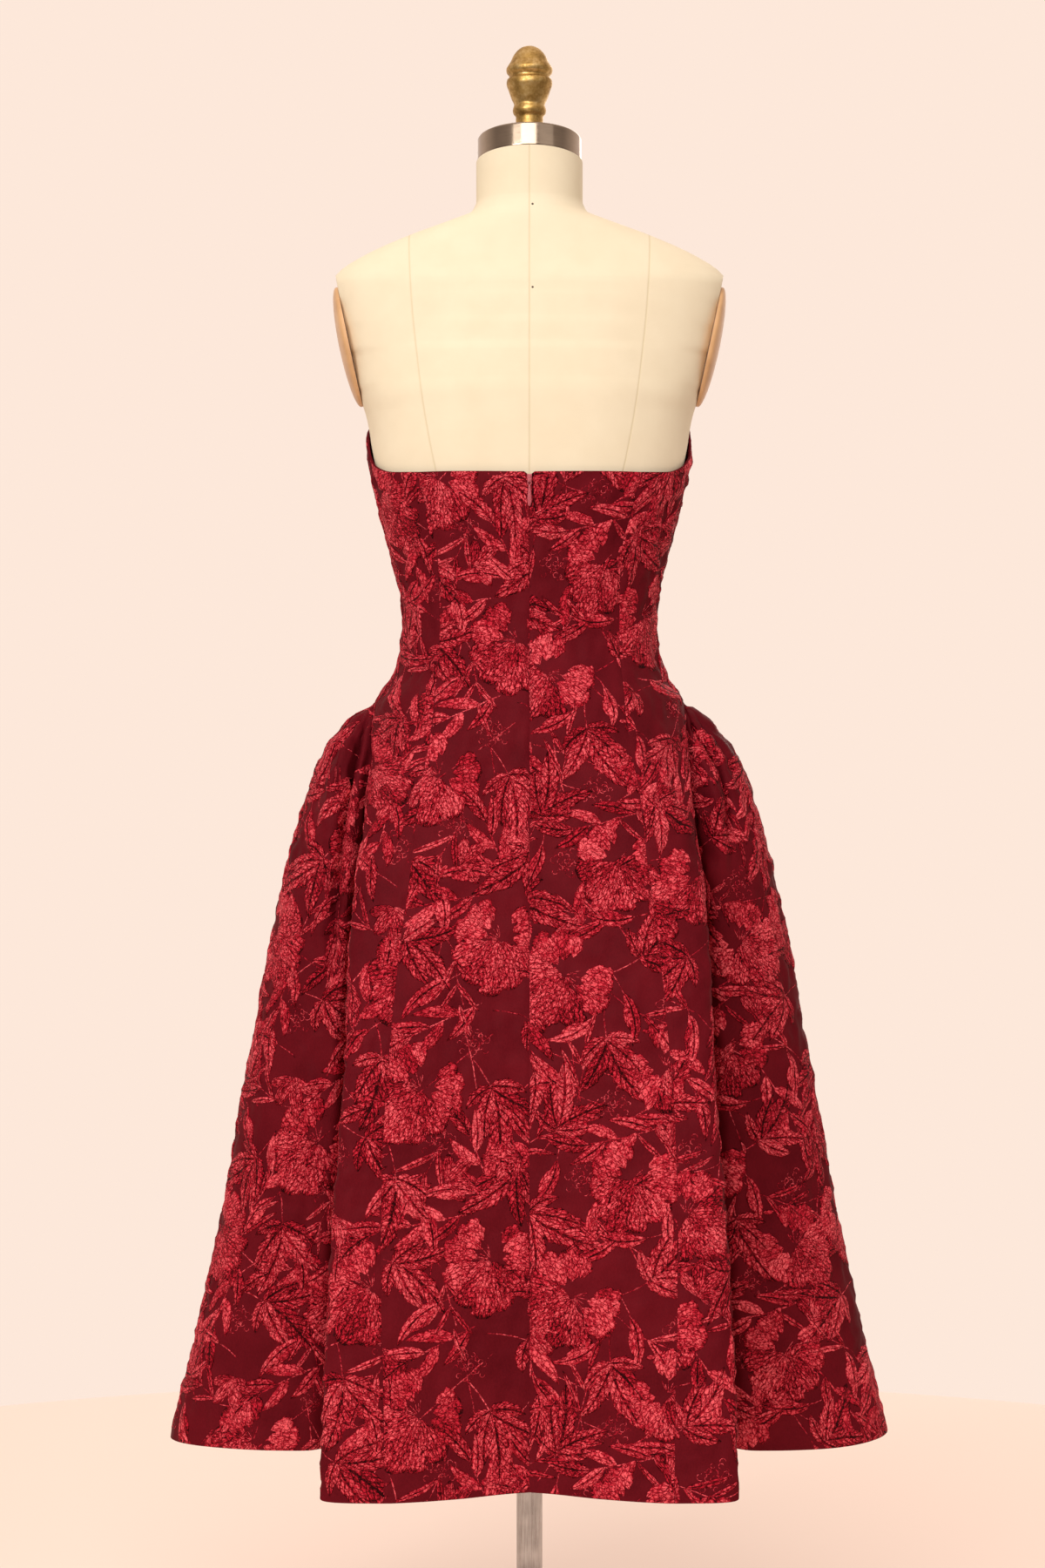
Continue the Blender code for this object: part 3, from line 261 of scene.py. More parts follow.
BACK, FRONT = outlines(0), outlines(1)
Lobe = namedtuple("Lobe", "z tip swell")
SIDE = [Lobe(*(value / TENTH for value in row)) for row in [
    (10040, 1520, 0), (10000, 1548, 10), (9960, 1625, 20), (9908, 1725, 40), (9736, 1874, 80),
    (9564, 2012, 100), (9392, 2094, 120), (9048, 2210, 140), (8532, 2360, 160), (7672, 2549, 180),
    (6984, 2678, 190), (6297, 2803, 200), (5609, 2919, 210), (4921, 3044, 220), (4233, 3199, 230),
    (3545, 3349, 240), (2820, 3545, 250),
]]
Fold = namedtuple("Fold", "top mid low across_top across_mid across_low rise width")
FOLDS = {
    ("left", "back"): [
        Fold(0.975, 0.760, -0.300, 0.03, 0.22, 0.23, -0.0160, 0.050),
        Fold(0.990, 0.860, 0.560, 0.18, 0.29, 0.32, 0.0090, 0.070),
        Fold(0.998, 0.860, 0.700, 0.30, 0.41, 0.40, -0.0180, 0.050),
        Fold(0.998, 0.920, 0.820, 0.46, 0.62, 0.56, 0.0060, 0.080),
        Fold(0.998, 0.950, 0.880, 0.56, 0.78, 0.84, -0.0050, 0.055),
    ],
    ("right", "back"): [
        Fold(0.975, 0.760, -0.300, 0.03, 0.22, 0.23, -0.0160, 0.050),
        Fold(0.995, 0.900, 0.740, 0.16, 0.42, 0.34, 0.0100, 0.110),
        Fold(1.000, 0.922, 0.830, 0.16, 0.62, 0.48, -0.0190, 0.050),
        Fold(0.998, 0.950, 0.880, 0.50, 0.80, 0.88, -0.0050, 0.055),
    ],
    ("left", "front"): [
        Fold(1.000, 0.905, 0.760, 0.10, 0.45, 0.30, 0.0100, 0.120),
        Fold(1.000, 0.915, 0.820, 0.18, 0.59, 0.46, -0.0110, 0.070),
    ],
    ("right", "front"): [
        Fold(1.000, 0.895, 0.740, 0.10, 0.47, 0.30, 0.0105, 0.110),
        Fold(1.000, 0.905, 0.810, 0.22, 0.60, 0.50, -0.0105, 0.070),
    ],
}
Edge = namedtuple("Edge", "along height")
NECKLINE = {
    "center_back": [Edge(0, 1.2208), Edge(1, 1.2223)],
    "side_back": [Edge(0, 1.2223), Edge(0.25, 1.2243), Edge(0.5, 1.2330), Edge(0.75, 1.2440),
                  Edge(1, 1.2556)],
    "side_front": [Edge(0, 1.2556), Edge(0.25, 1.2680), Edge(0.5, 1.2795), Edge(0.75, 1.3010),
                   Edge(1, 1.3145)],
    "center_front": [Edge(0, 1.3145), Edge(0.35, 1.3110), Edge(0.7, 1.2960), Edge(1, 1.2860)],
    "side_skirt": [Edge(0, HIP), Edge(1, HIP)],
}
SIDE_LIFT = {"left": 0.0050, "right": -0.0050}
HEM = {
    "center_back": [Edge(0, HEM_ZIP), Edge(0.5, 0.2690), Edge(1, HEM_CENTRE)],
    "side_back": [Edge(0, HEM_CENTRE), Edge(0.45, 0.2712), Edge(0.6, 0.2750), Edge(1, HEM_SIDE)],
    "side_skirt": [Edge(0, HEM_SIDE), Edge(0.25, 0.2810), Edge(0.5, HEM_SIDE), Edge(0.75, 0.2810),
                   Edge(1, HEM_SIDE)],
    "side_front": [Edge(0, HEM_SIDE), Edge(0.4, 0.2750), Edge(0.55, 0.2712), Edge(1, HEM_CENTRE)],
    "center_front": [Edge(0, HEM_CENTRE), Edge(1, HEM_CENTRE)],
}
TIP_HEM_LIFT = {"left": -0.0025, "right": 0.0035}


def smooth(xs, ys, x):
    """Values at x on a smooth curve through the rows ys at xs that never overshoots them."""
    deep = (-1,) + (1,) * (ys.ndim - 1)
    step = np.diff(xs).reshape(deep)
    rise = np.diff(ys, axis=0) / step
    total = rise[:-1] + rise[1:]
    both = rise[:-1] * rise[1:]
    inner = np.where(both > 0, 2 * both / np.where(total == 0, 1, total), 0)
    slope = np.concatenate([rise[:1], inner, rise[-1:]])
    x = np.clip(x, xs[0], xs[-1])
    i = np.clip(np.searchsorted(xs, x, side="right") - 1, 0, len(xs) - 2)
    wide = np.diff(xs)[i]
    t = (x - xs[i]) / wide
    t, wide = (v.reshape(v.shape + (1,) * (ys.ndim - 1)) for v in (t, wide))
    return ((2 * t**3 - 3 * t**2 + 1) * ys[i] + (t**3 - 2 * t**2 + t) * wide * slope[i]
            + (3 * t**2 - 2 * t**3) * ys[i + 1] + (t**3 - t**2) * wide * slope[i + 1])


def read(table, field, x):
    """A table's column at x, between its rows."""
    rows = sorted(table)
    xs = np.array([row[0] for row in rows])
    return smooth(xs, np.array([getattr(row, field) for row in rows]), np.asarray(x, float))


def heading(degrees):
    """The plan direction that turns clockwise from +X."""
    angle = np.radians(degrees)
    return np.stack([np.cos(angle), -np.sin(angle)], -1)


def length_of(v):
    return np.linalg.norm(v, axis=-1, keepdims=True)


def unit(v):
    return v / np.maximum(length_of(v), 1e-12)


def bezier(a, b, c, d, t):
    s = 1 - t
    return a * s**3 + b * (3 * s * s * t) + c * (3 * s * t * t) + d * t**3


def smooth_step(t):
    t = np.clip(t, 0.0, 1.0)
    return t * t * (3 - 2 * t)


def outline(table, z):
    """The named points of half a plan outline at each height, and the seam's direction."""
    def point(x, y):
        return np.stack([read(table, x, z), read(table, y, z)], -1)

    centre = np.stack([0 * z, read(table, "centre", z)], -1)
    seam, fold, tuck = (point(name + "_x", name + "_y") for name in ("seam", "fold", "tuck"))
    along_seam = unit(unit(seam - centre) + unit(fold - seam))
    return centre, seam, fold, tuck, along_seam


def centre_curve(table, z, t):
    """Centre line at t = 0, princess seam at t = 1."""
    centre, seam, _, _, along_seam = outline(table, z)
    reach = CENTRE_REACH * length_of(seam - centre)
    near, far = centre + reach * np.array([1, 0]), seam - along_seam * reach
    return bezier(centre, near, far, seam, t[..., None])


def side_curve(table, z, t):
    """Princess seam at t = 0, outer fold at 0.5, tuck or side seam at 1."""
    _, seam, fold, tuck, along_seam = outline(table, z)
    along_fold = heading(read(table, "turn", z))
    soft = read(table, "soft", z)[..., None]
    reach = 0.35 * length_of(fold - seam)
    t = t[..., None]
    near = bezier(seam, seam + along_seam * reach, fold - along_fold * soft, fold, 2 * t)
    reach = length_of(tuck - fold)
    turned_in = fold + along_fold * np.minimum(soft, 0.35 * reach)
    far = bezier(fold, turned_in, tuck - heading(92) * (0.3 * reach), tuck, 2 * t - 1)
    return np.where(t <= 0.5, near, far)


def fold_height(side, face, across, z):
    """How far the pleats' folds lift the side skirt."""
    total = 0 * z
    for fold in FOLDS[side, face]:
        above = (fold.top - z) / (fold.top - fold.mid)
        below = (fold.mid - z) / (fold.mid - fold.low)
        upper = fold.across_top + (fold.across_mid - fold.across_top) * smooth_step(above)
        lower = fold.across_mid + (fold.across_low - fold.across_mid) * smooth_step(below)
        centre = np.where(z > fold.mid, upper, lower)
        size = np.where(z > fold.mid, smooth_step(2 * above), 1 - smooth_step(below))
        total = total + fold.rise * size * np.exp(-(((across - centre) / fold.width) ** 2))
    return total


def lobe_curve(side, z, t):
    """The side skirt: back tuck at t = 0, silhouette at 0.5, front tuck at 1."""
    halves = []
    for face, table in (("back", BACK), ("front", FRONT)):
        tuck = outline(table, z)[3]
        tip = np.stack([read(SIDE, "tip", z), 0 * z], -1)
        swell = read(SIDE, "swell", z)
        near_x = tuck[..., 0] + 0.42 * (tip[..., 0] - tuck[..., 0])
        near = np.stack([near_x, tuck[..., 1] + swell], -1)
        far = np.stack([tip[..., 0], 0.8 * (tuck[..., 1] + 0.5 * swell)], -1)
        share = 2 * np.minimum(t, 1 - t)[..., None]
        place = bezier(tuck, near, far, tip, share)
        ahead = bezier(tuck, near, far, tip, share + 0.01)
        across = (place - tuck)[..., 0] / np.maximum((tip - tuck)[..., 0], 1e-6)
        tangent = unit(ahead - place)
        lift = (fold_height(side, face, across, z) * smooth_step(6 * across))[..., None]
        place = place + np.stack([-tangent[..., 1], tangent[..., 0]], -1) * lift
        halves.append(place * np.array([1, 1 if face == "back" else -1]))
    return np.where(t[..., None] <= 0.5, *halves)


def plan(panel, side, t, z):
    """A panel's outer face at a share of the way across and a height, on the wearer's left."""
    turn_over = np.array([1, -1])
    if panel == "center_back":
        flat = centre_curve(BACK, z, t)
    elif panel == "side_back":
        flat = side_curve(BACK, z, t)
    elif panel == "side_skirt":
        flat = lobe_curve(side, z, t)
    elif panel == "side_front":
        flat = side_curve(FRONT, z, 1 - t) * turn_over
    else:
        flat = centre_curve(FRONT, z, 1 - t) * turn_over
    return np.concatenate([flat, z[..., None]], -1)


def top_of(panel, side, t):
    height = read(NECKLINE[panel], "height", t)
    if panel == "center_back":
        across = plan(panel, side, t, height)[..., 0]
        height = height - NOTCH_DEPTH * np.maximum(0, 1 - across / NOTCH_WIDTH)
    if panel == "side_back":
        height = height + SIDE_LIFT[side] * smooth_step(2 * t - 1)
    if panel == "side_front":
        height = height + SIDE_LIFT[side] * smooth_step(1 - 2 * t)
    return height


def hem_of(panel, side, t):
    height = read(HEM[panel], "height", t)
    if panel == "side_skirt":
        height = height + TIP_HEM_LIFT[side] * smooth_step(1 - abs(4 * t - 2))
    return height


# How many cells of cloth mesh each panel has across and down, about 4 by 6 mm each.
GRID = {"center_back": (33, 160), "side_back": (60, 160), "side_skirt": (122, 120),
        "side_front": (50, 150), "center_front": (30, 150)}
PUCKER = 0.0031        # how far the raised weave draws the cloth in and out
PUCKER_SIZE = 0.0115
SEAM_DIP = 0.0009      # a pressed seam lies a little lower than the cloth beside it
SEAM_DIP_WIDTH = 0.0017
HEM_ROLL = 0.0006
HEM_ROLL_HEIGHT = 0.0040
FLAT_EDGE = 0.006      # the puckers die out over this much beside a seam, a hem or the neckline
TUCK_EASE = 0.010
Surface = namedtuple("Surface", "places normals across down")


def cloth_surface(panel, side):
    """The panel's outer face as a grid of places and normals, row 0 at the top edge. Across and
    down are each cell's distances along the cloth from its first column and first row."""
    columns, rows = GRID[panel]
    shares = np.linspace(0, 1, columns + 1)
    if panel == "center_back":
        shares = shares**1.15           # closer together at the notch over the zip
    share_down = np.linspace(0, 1, rows + 1)
    share_down = share_down if panel != "side_skirt" else share_down**1.35
    t = np.tile(shares, (rows + 1, 1))
    share_down = share_down[:, None]
    z = top_of(panel, side, shares) * (1 - share_down) + hem_of(panel, side, shares) * share_down
    places = plan(panel, side, t, z)
    if panel == "center_front":
        mirrored = places[:, -2::-1] * np.array([-1, 1, 1])
        places = np.concatenate([places, mirrored], 1)
    if side == "right":
        places = places * np.array([-1, 1, 1])
    normals = np.cross(np.gradient(places, axis=1), np.gradient(places, axis=0))
    normals = unit(normals) * (1 if side == "left" else -1)
    across = np.cumsum(length_of(np.diff(places, axis=1))[..., 0], 1)
    across = np.concatenate([np.zeros((rows + 1, 1)), across], 1)
    down = np.cumsum(length_of(np.diff(places, axis=0))[..., 0], 0)
    down = np.concatenate([np.zeros((1, places.shape[1])), down])
    puff = np.array([[noise.noise(Vector(place) / PUCKER_SIZE) for place in row] for row in places])
    edge = np.minimum(across, across[:, -1:] - across)
    hem = down[-1] - down
    lift = PUCKER * puff
    for distance in (edge, down, hem):
        lift = lift * smooth_step(distance / FLAT_EDGE)
    # below the hip the seam lies deep in the tuck: it has no dip, and the back and front panels
    # run on behind the side skirt's edge
    far_half = across > across[:, -1:] / 2
    tucked = {"side_back": far_half, "side_front": ~far_half, "side_skirt": far_half | ~far_half}
    tucked = tucked.get(panel, far_half & ~far_half)
    tucked = tucked * smooth_step((HIP - places[..., 2]) / TUCK_EASE)
    lift = lift - SEAM_DIP * np.exp(-((edge / SEAM_DIP_WIDTH) ** 2)) * (1 - tucked)
    roll = np.exp(-((hem / HEM_ROLL_HEIGHT) ** 2)) + np.exp(-((down / HEM_ROLL_HEIGHT) ** 2))
    lift = lift - HEM_ROLL * roll
    toward = places[:, [1, -2]] - places[:, [0, -1]]
    places = places + normals * lift[..., None]
    behind = WALL * tucked[:, [0, -1], None] if panel != "side_skirt" else 0
    places[:, [0, -1]] -= unit(toward) * (SEAM_LAP + behind)
    return Surface(places, normals, across, down)


def wall_grid(columns, rows):
    """A flat grid extruded into a wall, and the vertices of its outer face."""
    bm = bmesh.new()
    bmesh.ops.create_grid(bm, x_segments=columns, y_segments=rows, size=0.5)
    extruded = bmesh.ops.extrude_face_region(bm, geom=bm.faces[:])
    return bm, {item for item in extruded["geom"] if isinstance(item, bmesh.types.BMVert)}


def cloth_panel(name, surface, material):
    """The panel's wall: its outer face, extruded through to its inner face."""
    rows, columns = (n - 1 for n in surface.places.shape[:2])
    bm, outer = wall_grid(columns, rows)
    for vert in bm.verts:
        i = round((0.5 - vert.co.y) * rows)
        j = round((vert.co.x + 0.5) * columns)
        place = surface.places[i, j]
        vert.co = place if vert in outer else place - surface.normals[i, j] * WALL
    bmesh.ops.recalc_face_normals(bm, faces=bm.faces)
    return add_piece(name, bm, material, DRESS_BODY, [name.replace("_cloth", "")])


def satin_ground():
    """Weft-faced satin of dark wine yarn: close, smooth and deep in colour, with a dull glow."""
    made, tree, shader, place = new_finish("satin ground", Specular_IOR_Level=0.02)
    # 0.35 mm yarns, drawn at 1.2 mm so that the grain shows
    grain = add_node(tree, "Mapping", {"Vector": place, "Scale": (830, 830, 420)})
    yarn = speckle(tree, grain, 1.0, 2.0)
    both = blend(tree, 0.35, speckle(tree, place, 22.0, 3.0), yarn)
    dress(tree, shader, tones(tree, both, (0.3, "#530d16"), (0.7, "#6a141e")),
          spread(tree, yarn, 0.0, 1.0, 0.45, 0.62), (yarn, 0.25, 0.0003))
    return made


PANELS = [(panel, side) for panel in ("center_back", "side_back", "side_skirt", "side_front")
          for side in ("left", "right")] + [("center_front", "left")]
ground = satin_ground()
surfaces = {}
for panel, side in PANELS:
    name = panel if panel == "center_front" else f"{panel}_{side}"
    surfaces[name] = cloth_surface(panel, side)
    cloth_panel(name + "_cloth", surfaces[name], ground)

# Raised figure of the jacquard: leaves, sprays, flower heads, fine stems and lace-like loops,
# woven in puckered red yarn that stands about a millimetre proud of the satin. One repeat
# is charted below in millimetres and runs over each panel; seams cut it where they fall.
REPEAT = (340.0, 296.0)
Figure = namedtuple("Figure", "kind x y turn size", defaults=[1.0])
# flower heads at the widest crossings, hands of pointed leaves, branches of curved leaves, slim
# paired leaves, and shells, lace, curls and stems between them
CHART = [Figure(kind, *row) for kind, rows in {
    "bloom": [(84, 74, 60), (246, 60, 110, 0.92), (190, 168, 140), (16, 232, 80, 0.95),
        (280, 252, 40, 0.92)],
    "hand": [(148, 92, 50), (18, 74, 120), (104, 156, 100, 1.05), (262, 150, -30),
        (106, 232, 160, 1.05), (226, 226, 85), (176, 16, -60, 0.95), (322, 12, 160),
        (330, 150, 60, 0.95)],
    "branch": [(60, 10, 25), (128, 110, -115), (238, 20, 165), (24, 150, -70), (70, 196, 10),
        (150, 226, 75), (214, 110, -60), (292, 110, 60), (270, 286, -30), (336, 120, 100)],
    "slim": [(128, 40, -30), (60, 122, 60), (240, 118, 190), (150, 180, 250), (250, 200, 20),
        (60, 240, 100), (196, 286, -80), (320, 66, -150)],
    "fan": [(120, 12, 80), (282, 30, 300), (58, 160, 200), (148, 196, 30), (330, 140, 20)],
    "lace": [(200, 60, 0), (66, 122, 0), (132, 250, 0), (290, 196, 0), (36, 32, 0, 0.9),
        (230, 286, 0, 0.9)],
    "curl": [(176, 44, 95), (258, 112, 160), (60, 268, 20, 1.05), (312, 66, 70),
        (244, 184, 60, 0.95), (30, 170, -20), (190, 276, 200, 1.05), (120, 130, 30, 0.9),
        (214, 208, 130, 0.95), (70, 226, -100), (340, 96, 110, 0.95), (146, 276, -30, 0.9)],
    "stems": [(40, 44, 40), (122, 196, 150), (226, 96, 60), (316, 212, 110, 0.9),
        (196, 250, 20, 0.9)],
}.items() for row in rows]
FIGURE_RISE = 0.90       # millimetres the raised weave stands proud
LAYER_RISE = 0.10        # more for each figure laid over another
SUNK = -0.12             # its outline dips into the satin
LeafShape = namedtuple("LeafShape", "length width turn bend base tip jags style")
# A leaf's style is read by the material, which paints shade along its veins: 0 plain, 1 a dark
# midrib, 2 midrib and side veins, 3 long petal veins, 4 a bare line.
PLAIN, MIDRIB, VEINED, PETAL, LINE = 0.0, 1.0, 2.0, 3.0, 4.0


LEAF_GRIDS = {}


def leaf_grid(long_cells, wide_cells):
    """A flat grid's places along and across, row by row, and its faces, made once for each size."""
    if (long_cells, wide_cells) not in LEAF_GRIDS:
        grid = bmesh.new()
        bmesh.ops.create_grid(grid, x_segments=long_cells, y_segments=wide_cells, size=0.5)
        places = np.array([(vert.co.x + 0.5, 2 * vert.co.y) for vert in grid.verts])
        faces = np.array([[vert.index for vert in face.verts] for face in grid.faces])
        grid.free()
        LEAF_GRIDS[long_cells, wide_cells] = places[:, 0], places[:, 1], faces
    return LEAF_GRIDS[long_cells, wide_cells]


class Drawing:
    """The raised figures of one panel, drawn flat in millimetres from each figure's centre."""

    def __init__(self):
        self.places, self.leaves, self.flows, self.faces, self.count = [], [], [], [], 0

    def blade(self, anchor, x, y, shape, layer):
        """One leaf, petal or line from its base at x, y off the anchor."""
        long_cells = max(5, min(16, round(shape.length / (2.6 if shape.jags > 0.5 else 4.0))))
        wide_cells = 2 if shape.style == LINE else 6 if shape.width > 15 else 4
        along, across, faces = leaf_grid(long_cells, wide_cells)
        across = np.sign(across) * abs(across) ** 0.5
        turn, bend = math.radians(shape.turn), math.radians(shape.bend)
        if shape.style == LINE:
            half = np.full_like(along, 0.5 * shape.width)
        else:
            peak = shape.base / (shape.base + shape.tip)
            swell = (along + 0.01) ** shape.base * (1.01 - along) ** shape.tip
            swell = np.minimum(1, swell / (peak**shape.base * (1 - peak) ** shape.tip))
            side = np.sign(across)
            teeth = np.sin(along * 19 + 2.1 * side + shape.turn)
            teeth = teeth + 0.6 * np.sin(along * 43 + side + 2 * shape.turn)
            half = 0.5 * shape.width * swell * (1 + shape.jags * 0.13 * teeth)
        angle = bend * along
        if abs(bend) > 0.01:
            rib_x = shape.length * np.sin(angle) / bend
            rib_y = shape.length * (1 - np.cos(angle)) / bend
        else:
            rib_x, rib_y = shape.length * along, 0 * along
        local_x = rib_x - np.sin(angle) * half * across
        local_y = rib_y + np.cos(angle) * half * across
        dome = 1 - abs(across) ** 8
        tips = np.minimum(1, 8 * np.minimum(along, 1 - along))
        rise = FIGURE_RISE * (0.35 if shape.style == LINE else 1)
        height = SUNK + (rise - SUNK + layer * LAYER_RISE) * dome * (0.4 + 0.6 * tips)
        px = x + local_x * math.cos(turn) - local_y * math.sin(turn)
        py = y + local_x * math.sin(turn) + local_y * math.cos(turn)
        one = np.ones_like(px)
        self.places.append(np.stack([anchor[0] * one, anchor[1] * one, px, py, height], -1))
        self.leaves.append(np.stack([along, across, shape.style * one], -1))
        # creases of 7 by 2.6 mm, different on each leaf
        own = 3.7 * len(self.flows) * one
        self.flows.append(np.stack([along * shape.length / 7, across * half / 2.6, own], -1))
        self.faces.append(faces + self.count)
        self.count += len(px)


def step(x, y, turn, distance):
    """The point a distance along a direction from x, y."""
    return x + distance * math.cos(math.radians(turn)), y + distance * math.sin(math.radians(turn))


# Sprays that share one way of drawing. Each has its layer, its leaves and its lines. A leaf's row
# is its start along the stem, its turn off the stem, its length, width and bend, how slim its base
# and its tip are, how jagged its rim is, and its style. A line's row is the same up to the bend.
SPRAYS = {
    # long pointed leaves, creased along the middle, on a short stem
    "hand": (0.5, [
        (0, -96, 30, 13, 34, 0.55, 0.9, 0.7, VEINED), (2, -50, 48, 17, 26, 0.6, 0.9, 0.7, VEINED),
        (6, -14, 62, 21, -22, 0.6, 0.85, 0.9, VEINED), (3, 24, 54, 18, 20, 0.6, 0.9, 0.7, VEINED),
        (0, 66, 36, 15, -30, 0.55, 0.9, 0.7, VEINED)], [(0, 176, 34, 1.4, 16)]),
    # smooth lance-shaped leaves to either side of a curving stem
    "branch": (0.3, [
        (-26, 40, 40, 12, -26, 0.7, 1.0, 0.2, MIDRIB), (-12, -38, 44, 13, 30, 0.7, 1.0, 0.2, PLAIN),
        (6, 44, 38, 12, -30, 0.7, 1.0, 0.3, PLAIN), (18, -30, 42, 12, 24, 0.7, 1.0, 0.2, MIDRIB),
        (34, 8, 46, 15, 30, 0.65, 1.0, 0.4, VEINED)], [(-34, -4, 70, 1.8, 10)]),
    # slim paired leaves that spring from a thin stalk
    "slim": (0.2, [
        (10, 30, 36, 6.5, 12, 0.7, 0.9, 0, MIDRIB), (12, -28, 42, 6.5, -12, 0.7, 0.9, 0, MIDRIB),
        (32, 24, 36, 6.0, 10, 0.7, 0.9, 0, MIDRIB), (34, -34, 32, 5.5, -14, 0.7, 0.9, 0, MIDRIB),
        (54, 4, 34, 6.5, 16, 0.7, 0.9, 0, MIDRIB)], [(0, 0, 58, 1.3, 8), (0, 205, 46, 1.2, -12)]),
    # a shell of short leaves with close dark veins
    "fan": (0.3, [
        (0, -58, 26, 12, -14, 0.8, 0.6, 0.3, PETAL), (0, -20, 32, 15, -6, 0.8, 0.6, 0.3, PETAL),
        (0, 20, 33, 15, 6, 0.8, 0.6, 0.3, PETAL), (0, 58, 26, 12, 14, 0.8, 0.6, 0.3, PETAL)], []),
    # one long curling leaf with a small one beside it
    "curl": (0.4, [
        (0, 0, 54, 12, 50, 0.7, 1.0, 0.3, MIDRIB), (8, 48, 30, 8, -34, 0.7, 1.0, 0, PLAIN)],
        [(0, 190, 28, 1.3, -20)]),
}


def draw_spray(art, anchor, size, turn, kind):
    layer, leaves, lines = SPRAYS[kind]
    for along, spread, length, width, bend, base, tip, jags, style in leaves:
        x, y = step(0, 0, turn, along * size)
        shape = LeafShape(length * size, width * size, turn + spread, bend, base, tip, jags, style)
        art.blade(anchor, x, y, shape, layer)
    for along, spread, length, width, bend in lines:
        x, y = step(0, 0, turn, along * size)
        draw_line(art, anchor, x, y, length * size, width, turn + spread, bend)


def draw_line(art, anchor, x, y, length, width, turn, bend):
    art.blade(anchor, x, y, LeafShape(length, width, turn, bend, 1, 1, 0, LINE), 0)


def draw_bloom(art, anchor, size, turn, _):
    """A flower head seen from one side: ragged petals crowd round a dark heart of fine stamens."""
    for k in range(11):
        angle = turn + 196 + 148 * (k / 10) + 6 * math.sin(5 * k)
        x, y = step(0, 0, angle, 2 * size)
        length = (13 + 4 * math.sin(4 * k)) * size
        draw_line(art, anchor, x, y, length, 0.9, angle, 12)
    for spread, off, length, width, bend, layer in (
            (-128, 14, 30, 24, 30, 0.4), (-96, 13, 34, 26, 16, 0.6), (-150, 20, 24, 18, 40, 0.2),
            (128, 14, 30, 24, -30, 0.5), (98, 12, 34, 27, -18, 0.7), (154, 19, 22, 17, -40, 0.2),
            (-62, 10, 38, 28, 10, 0.9), (62, 10, 37, 27, -10, 1.0), (-30, 12, 40, 26, 6, 1.2),
            (30, 13, 39, 25, -8, 1.3), (0, 15, 42, 28, 4, 1.5),
            (-48, 3, 26, 22, 18, 1.9), (44, 3, 27, 23, -14, 2.0), (-6, 2, 28, 26, 4, 2.4)):
        x, y = step(0, 0, turn + spread, off * size)
        shape = LeafShape(length * size, width * size, turn + spread + 6 * math.sin(spread), bend,
                          0.9, 0.45, 1.1, PLAIN if abs(spread) > 80 else PETAL)
        art.blade(anchor, x, y, shape, layer)


def draw_stems(art, anchor, size, turn, _):
    """Long fine stems that cross, each ending in a bud."""
    for off, spread, length, bend in ((-34, 0, 96, 9), (-30, 62, 84, -12)):
        x, y = step(0, 0, turn + spread, off * size)
        draw_line(art, anchor, x, y, length * size, 1.4, turn + spread - bend / 2, bend)
        x, y = step(x, y, turn + spread, length * size)
        bud = LeafShape(12 * size, 5 * size, turn + spread, 10, 0.8, 0.8, 0, PLAIN)
        art.blade(anchor, x, y, bud, 0.2)


def draw_lace(art, anchor, size, turn, _):
    """A cluster of fine woven loops."""
    for k in range(26):
        angle = 137.5 * k + turn
        x, y = step(0, 0, angle, 2.9 * size * math.sqrt(k))
        draw_line(art, anchor, x, y, 12 * size, 0.9, angle + 61 * k, 300 - 40 * (k % 3))


DRAW = {"bloom": draw_bloom, "stems": draw_stems, "lace": draw_lace}
FIGURE_REACH = 75        # millimetres that a figure's parts may lie from its centre


def panel_drawing(surface, phase):
    """All the figures whose centres fall on or near the panel."""
    rows = surface.down[:, surface.down.shape[1] // 2] * 1000
    width = surface.across.max() * 1000
    art = Drawing()
    for tile_x in range(-1, math.ceil(width / REPEAT[0]) + 1):
        for tile_y in range(-1, math.ceil(rows[-1] / REPEAT[1]) + 1):
            shift_x = tile_x * REPEAT[0] + phase[0]
            shift_y = tile_y * REPEAT[1] + phase[1]
            for figure in CHART:
                off_middle, y = figure.x + shift_x - 0.5 * width, figure.y + shift_y
                at_row = int(np.interp(y, rows, np.arange(len(rows))))
                middle = 0.5 * (surface.across[at_row, -1] * 1000)
                on_rows = -FIGURE_REACH < y < rows[-1] + FIGURE_REACH
                if on_rows and abs(off_middle) < middle + FIGURE_REACH:
                    draw = DRAW.get(figure.kind, draw_spray)
                    draw(art, (off_middle + middle, y), figure.size, figure.turn, figure.kind)
    return art


def grid_value(values, i, j):
    """Values of a grid at fractional rows and columns."""
    i = np.clip(i, 0, values.shape[0] - 1.000001)
    j = np.clip(j, 0, values.shape[1] - 1.000001)
    i0, j0 = i.astype(int), j.astype(int)
    fi, fj = i - i0, j - j0
    if values.ndim == 3:
        fi, fj = fi[:, None], fj[:, None]
    return ((values[i0, j0] * (1 - fj) + values[i0, j0 + 1] * fj) * (1 - fi)
            + (values[i0 + 1, j0] * (1 - fj) + values[i0 + 1, j0 + 1] * fj) * fi)


EDGE_SINK = 2.0          # millimetres over which a figure sinks into a seam, hem or neckline


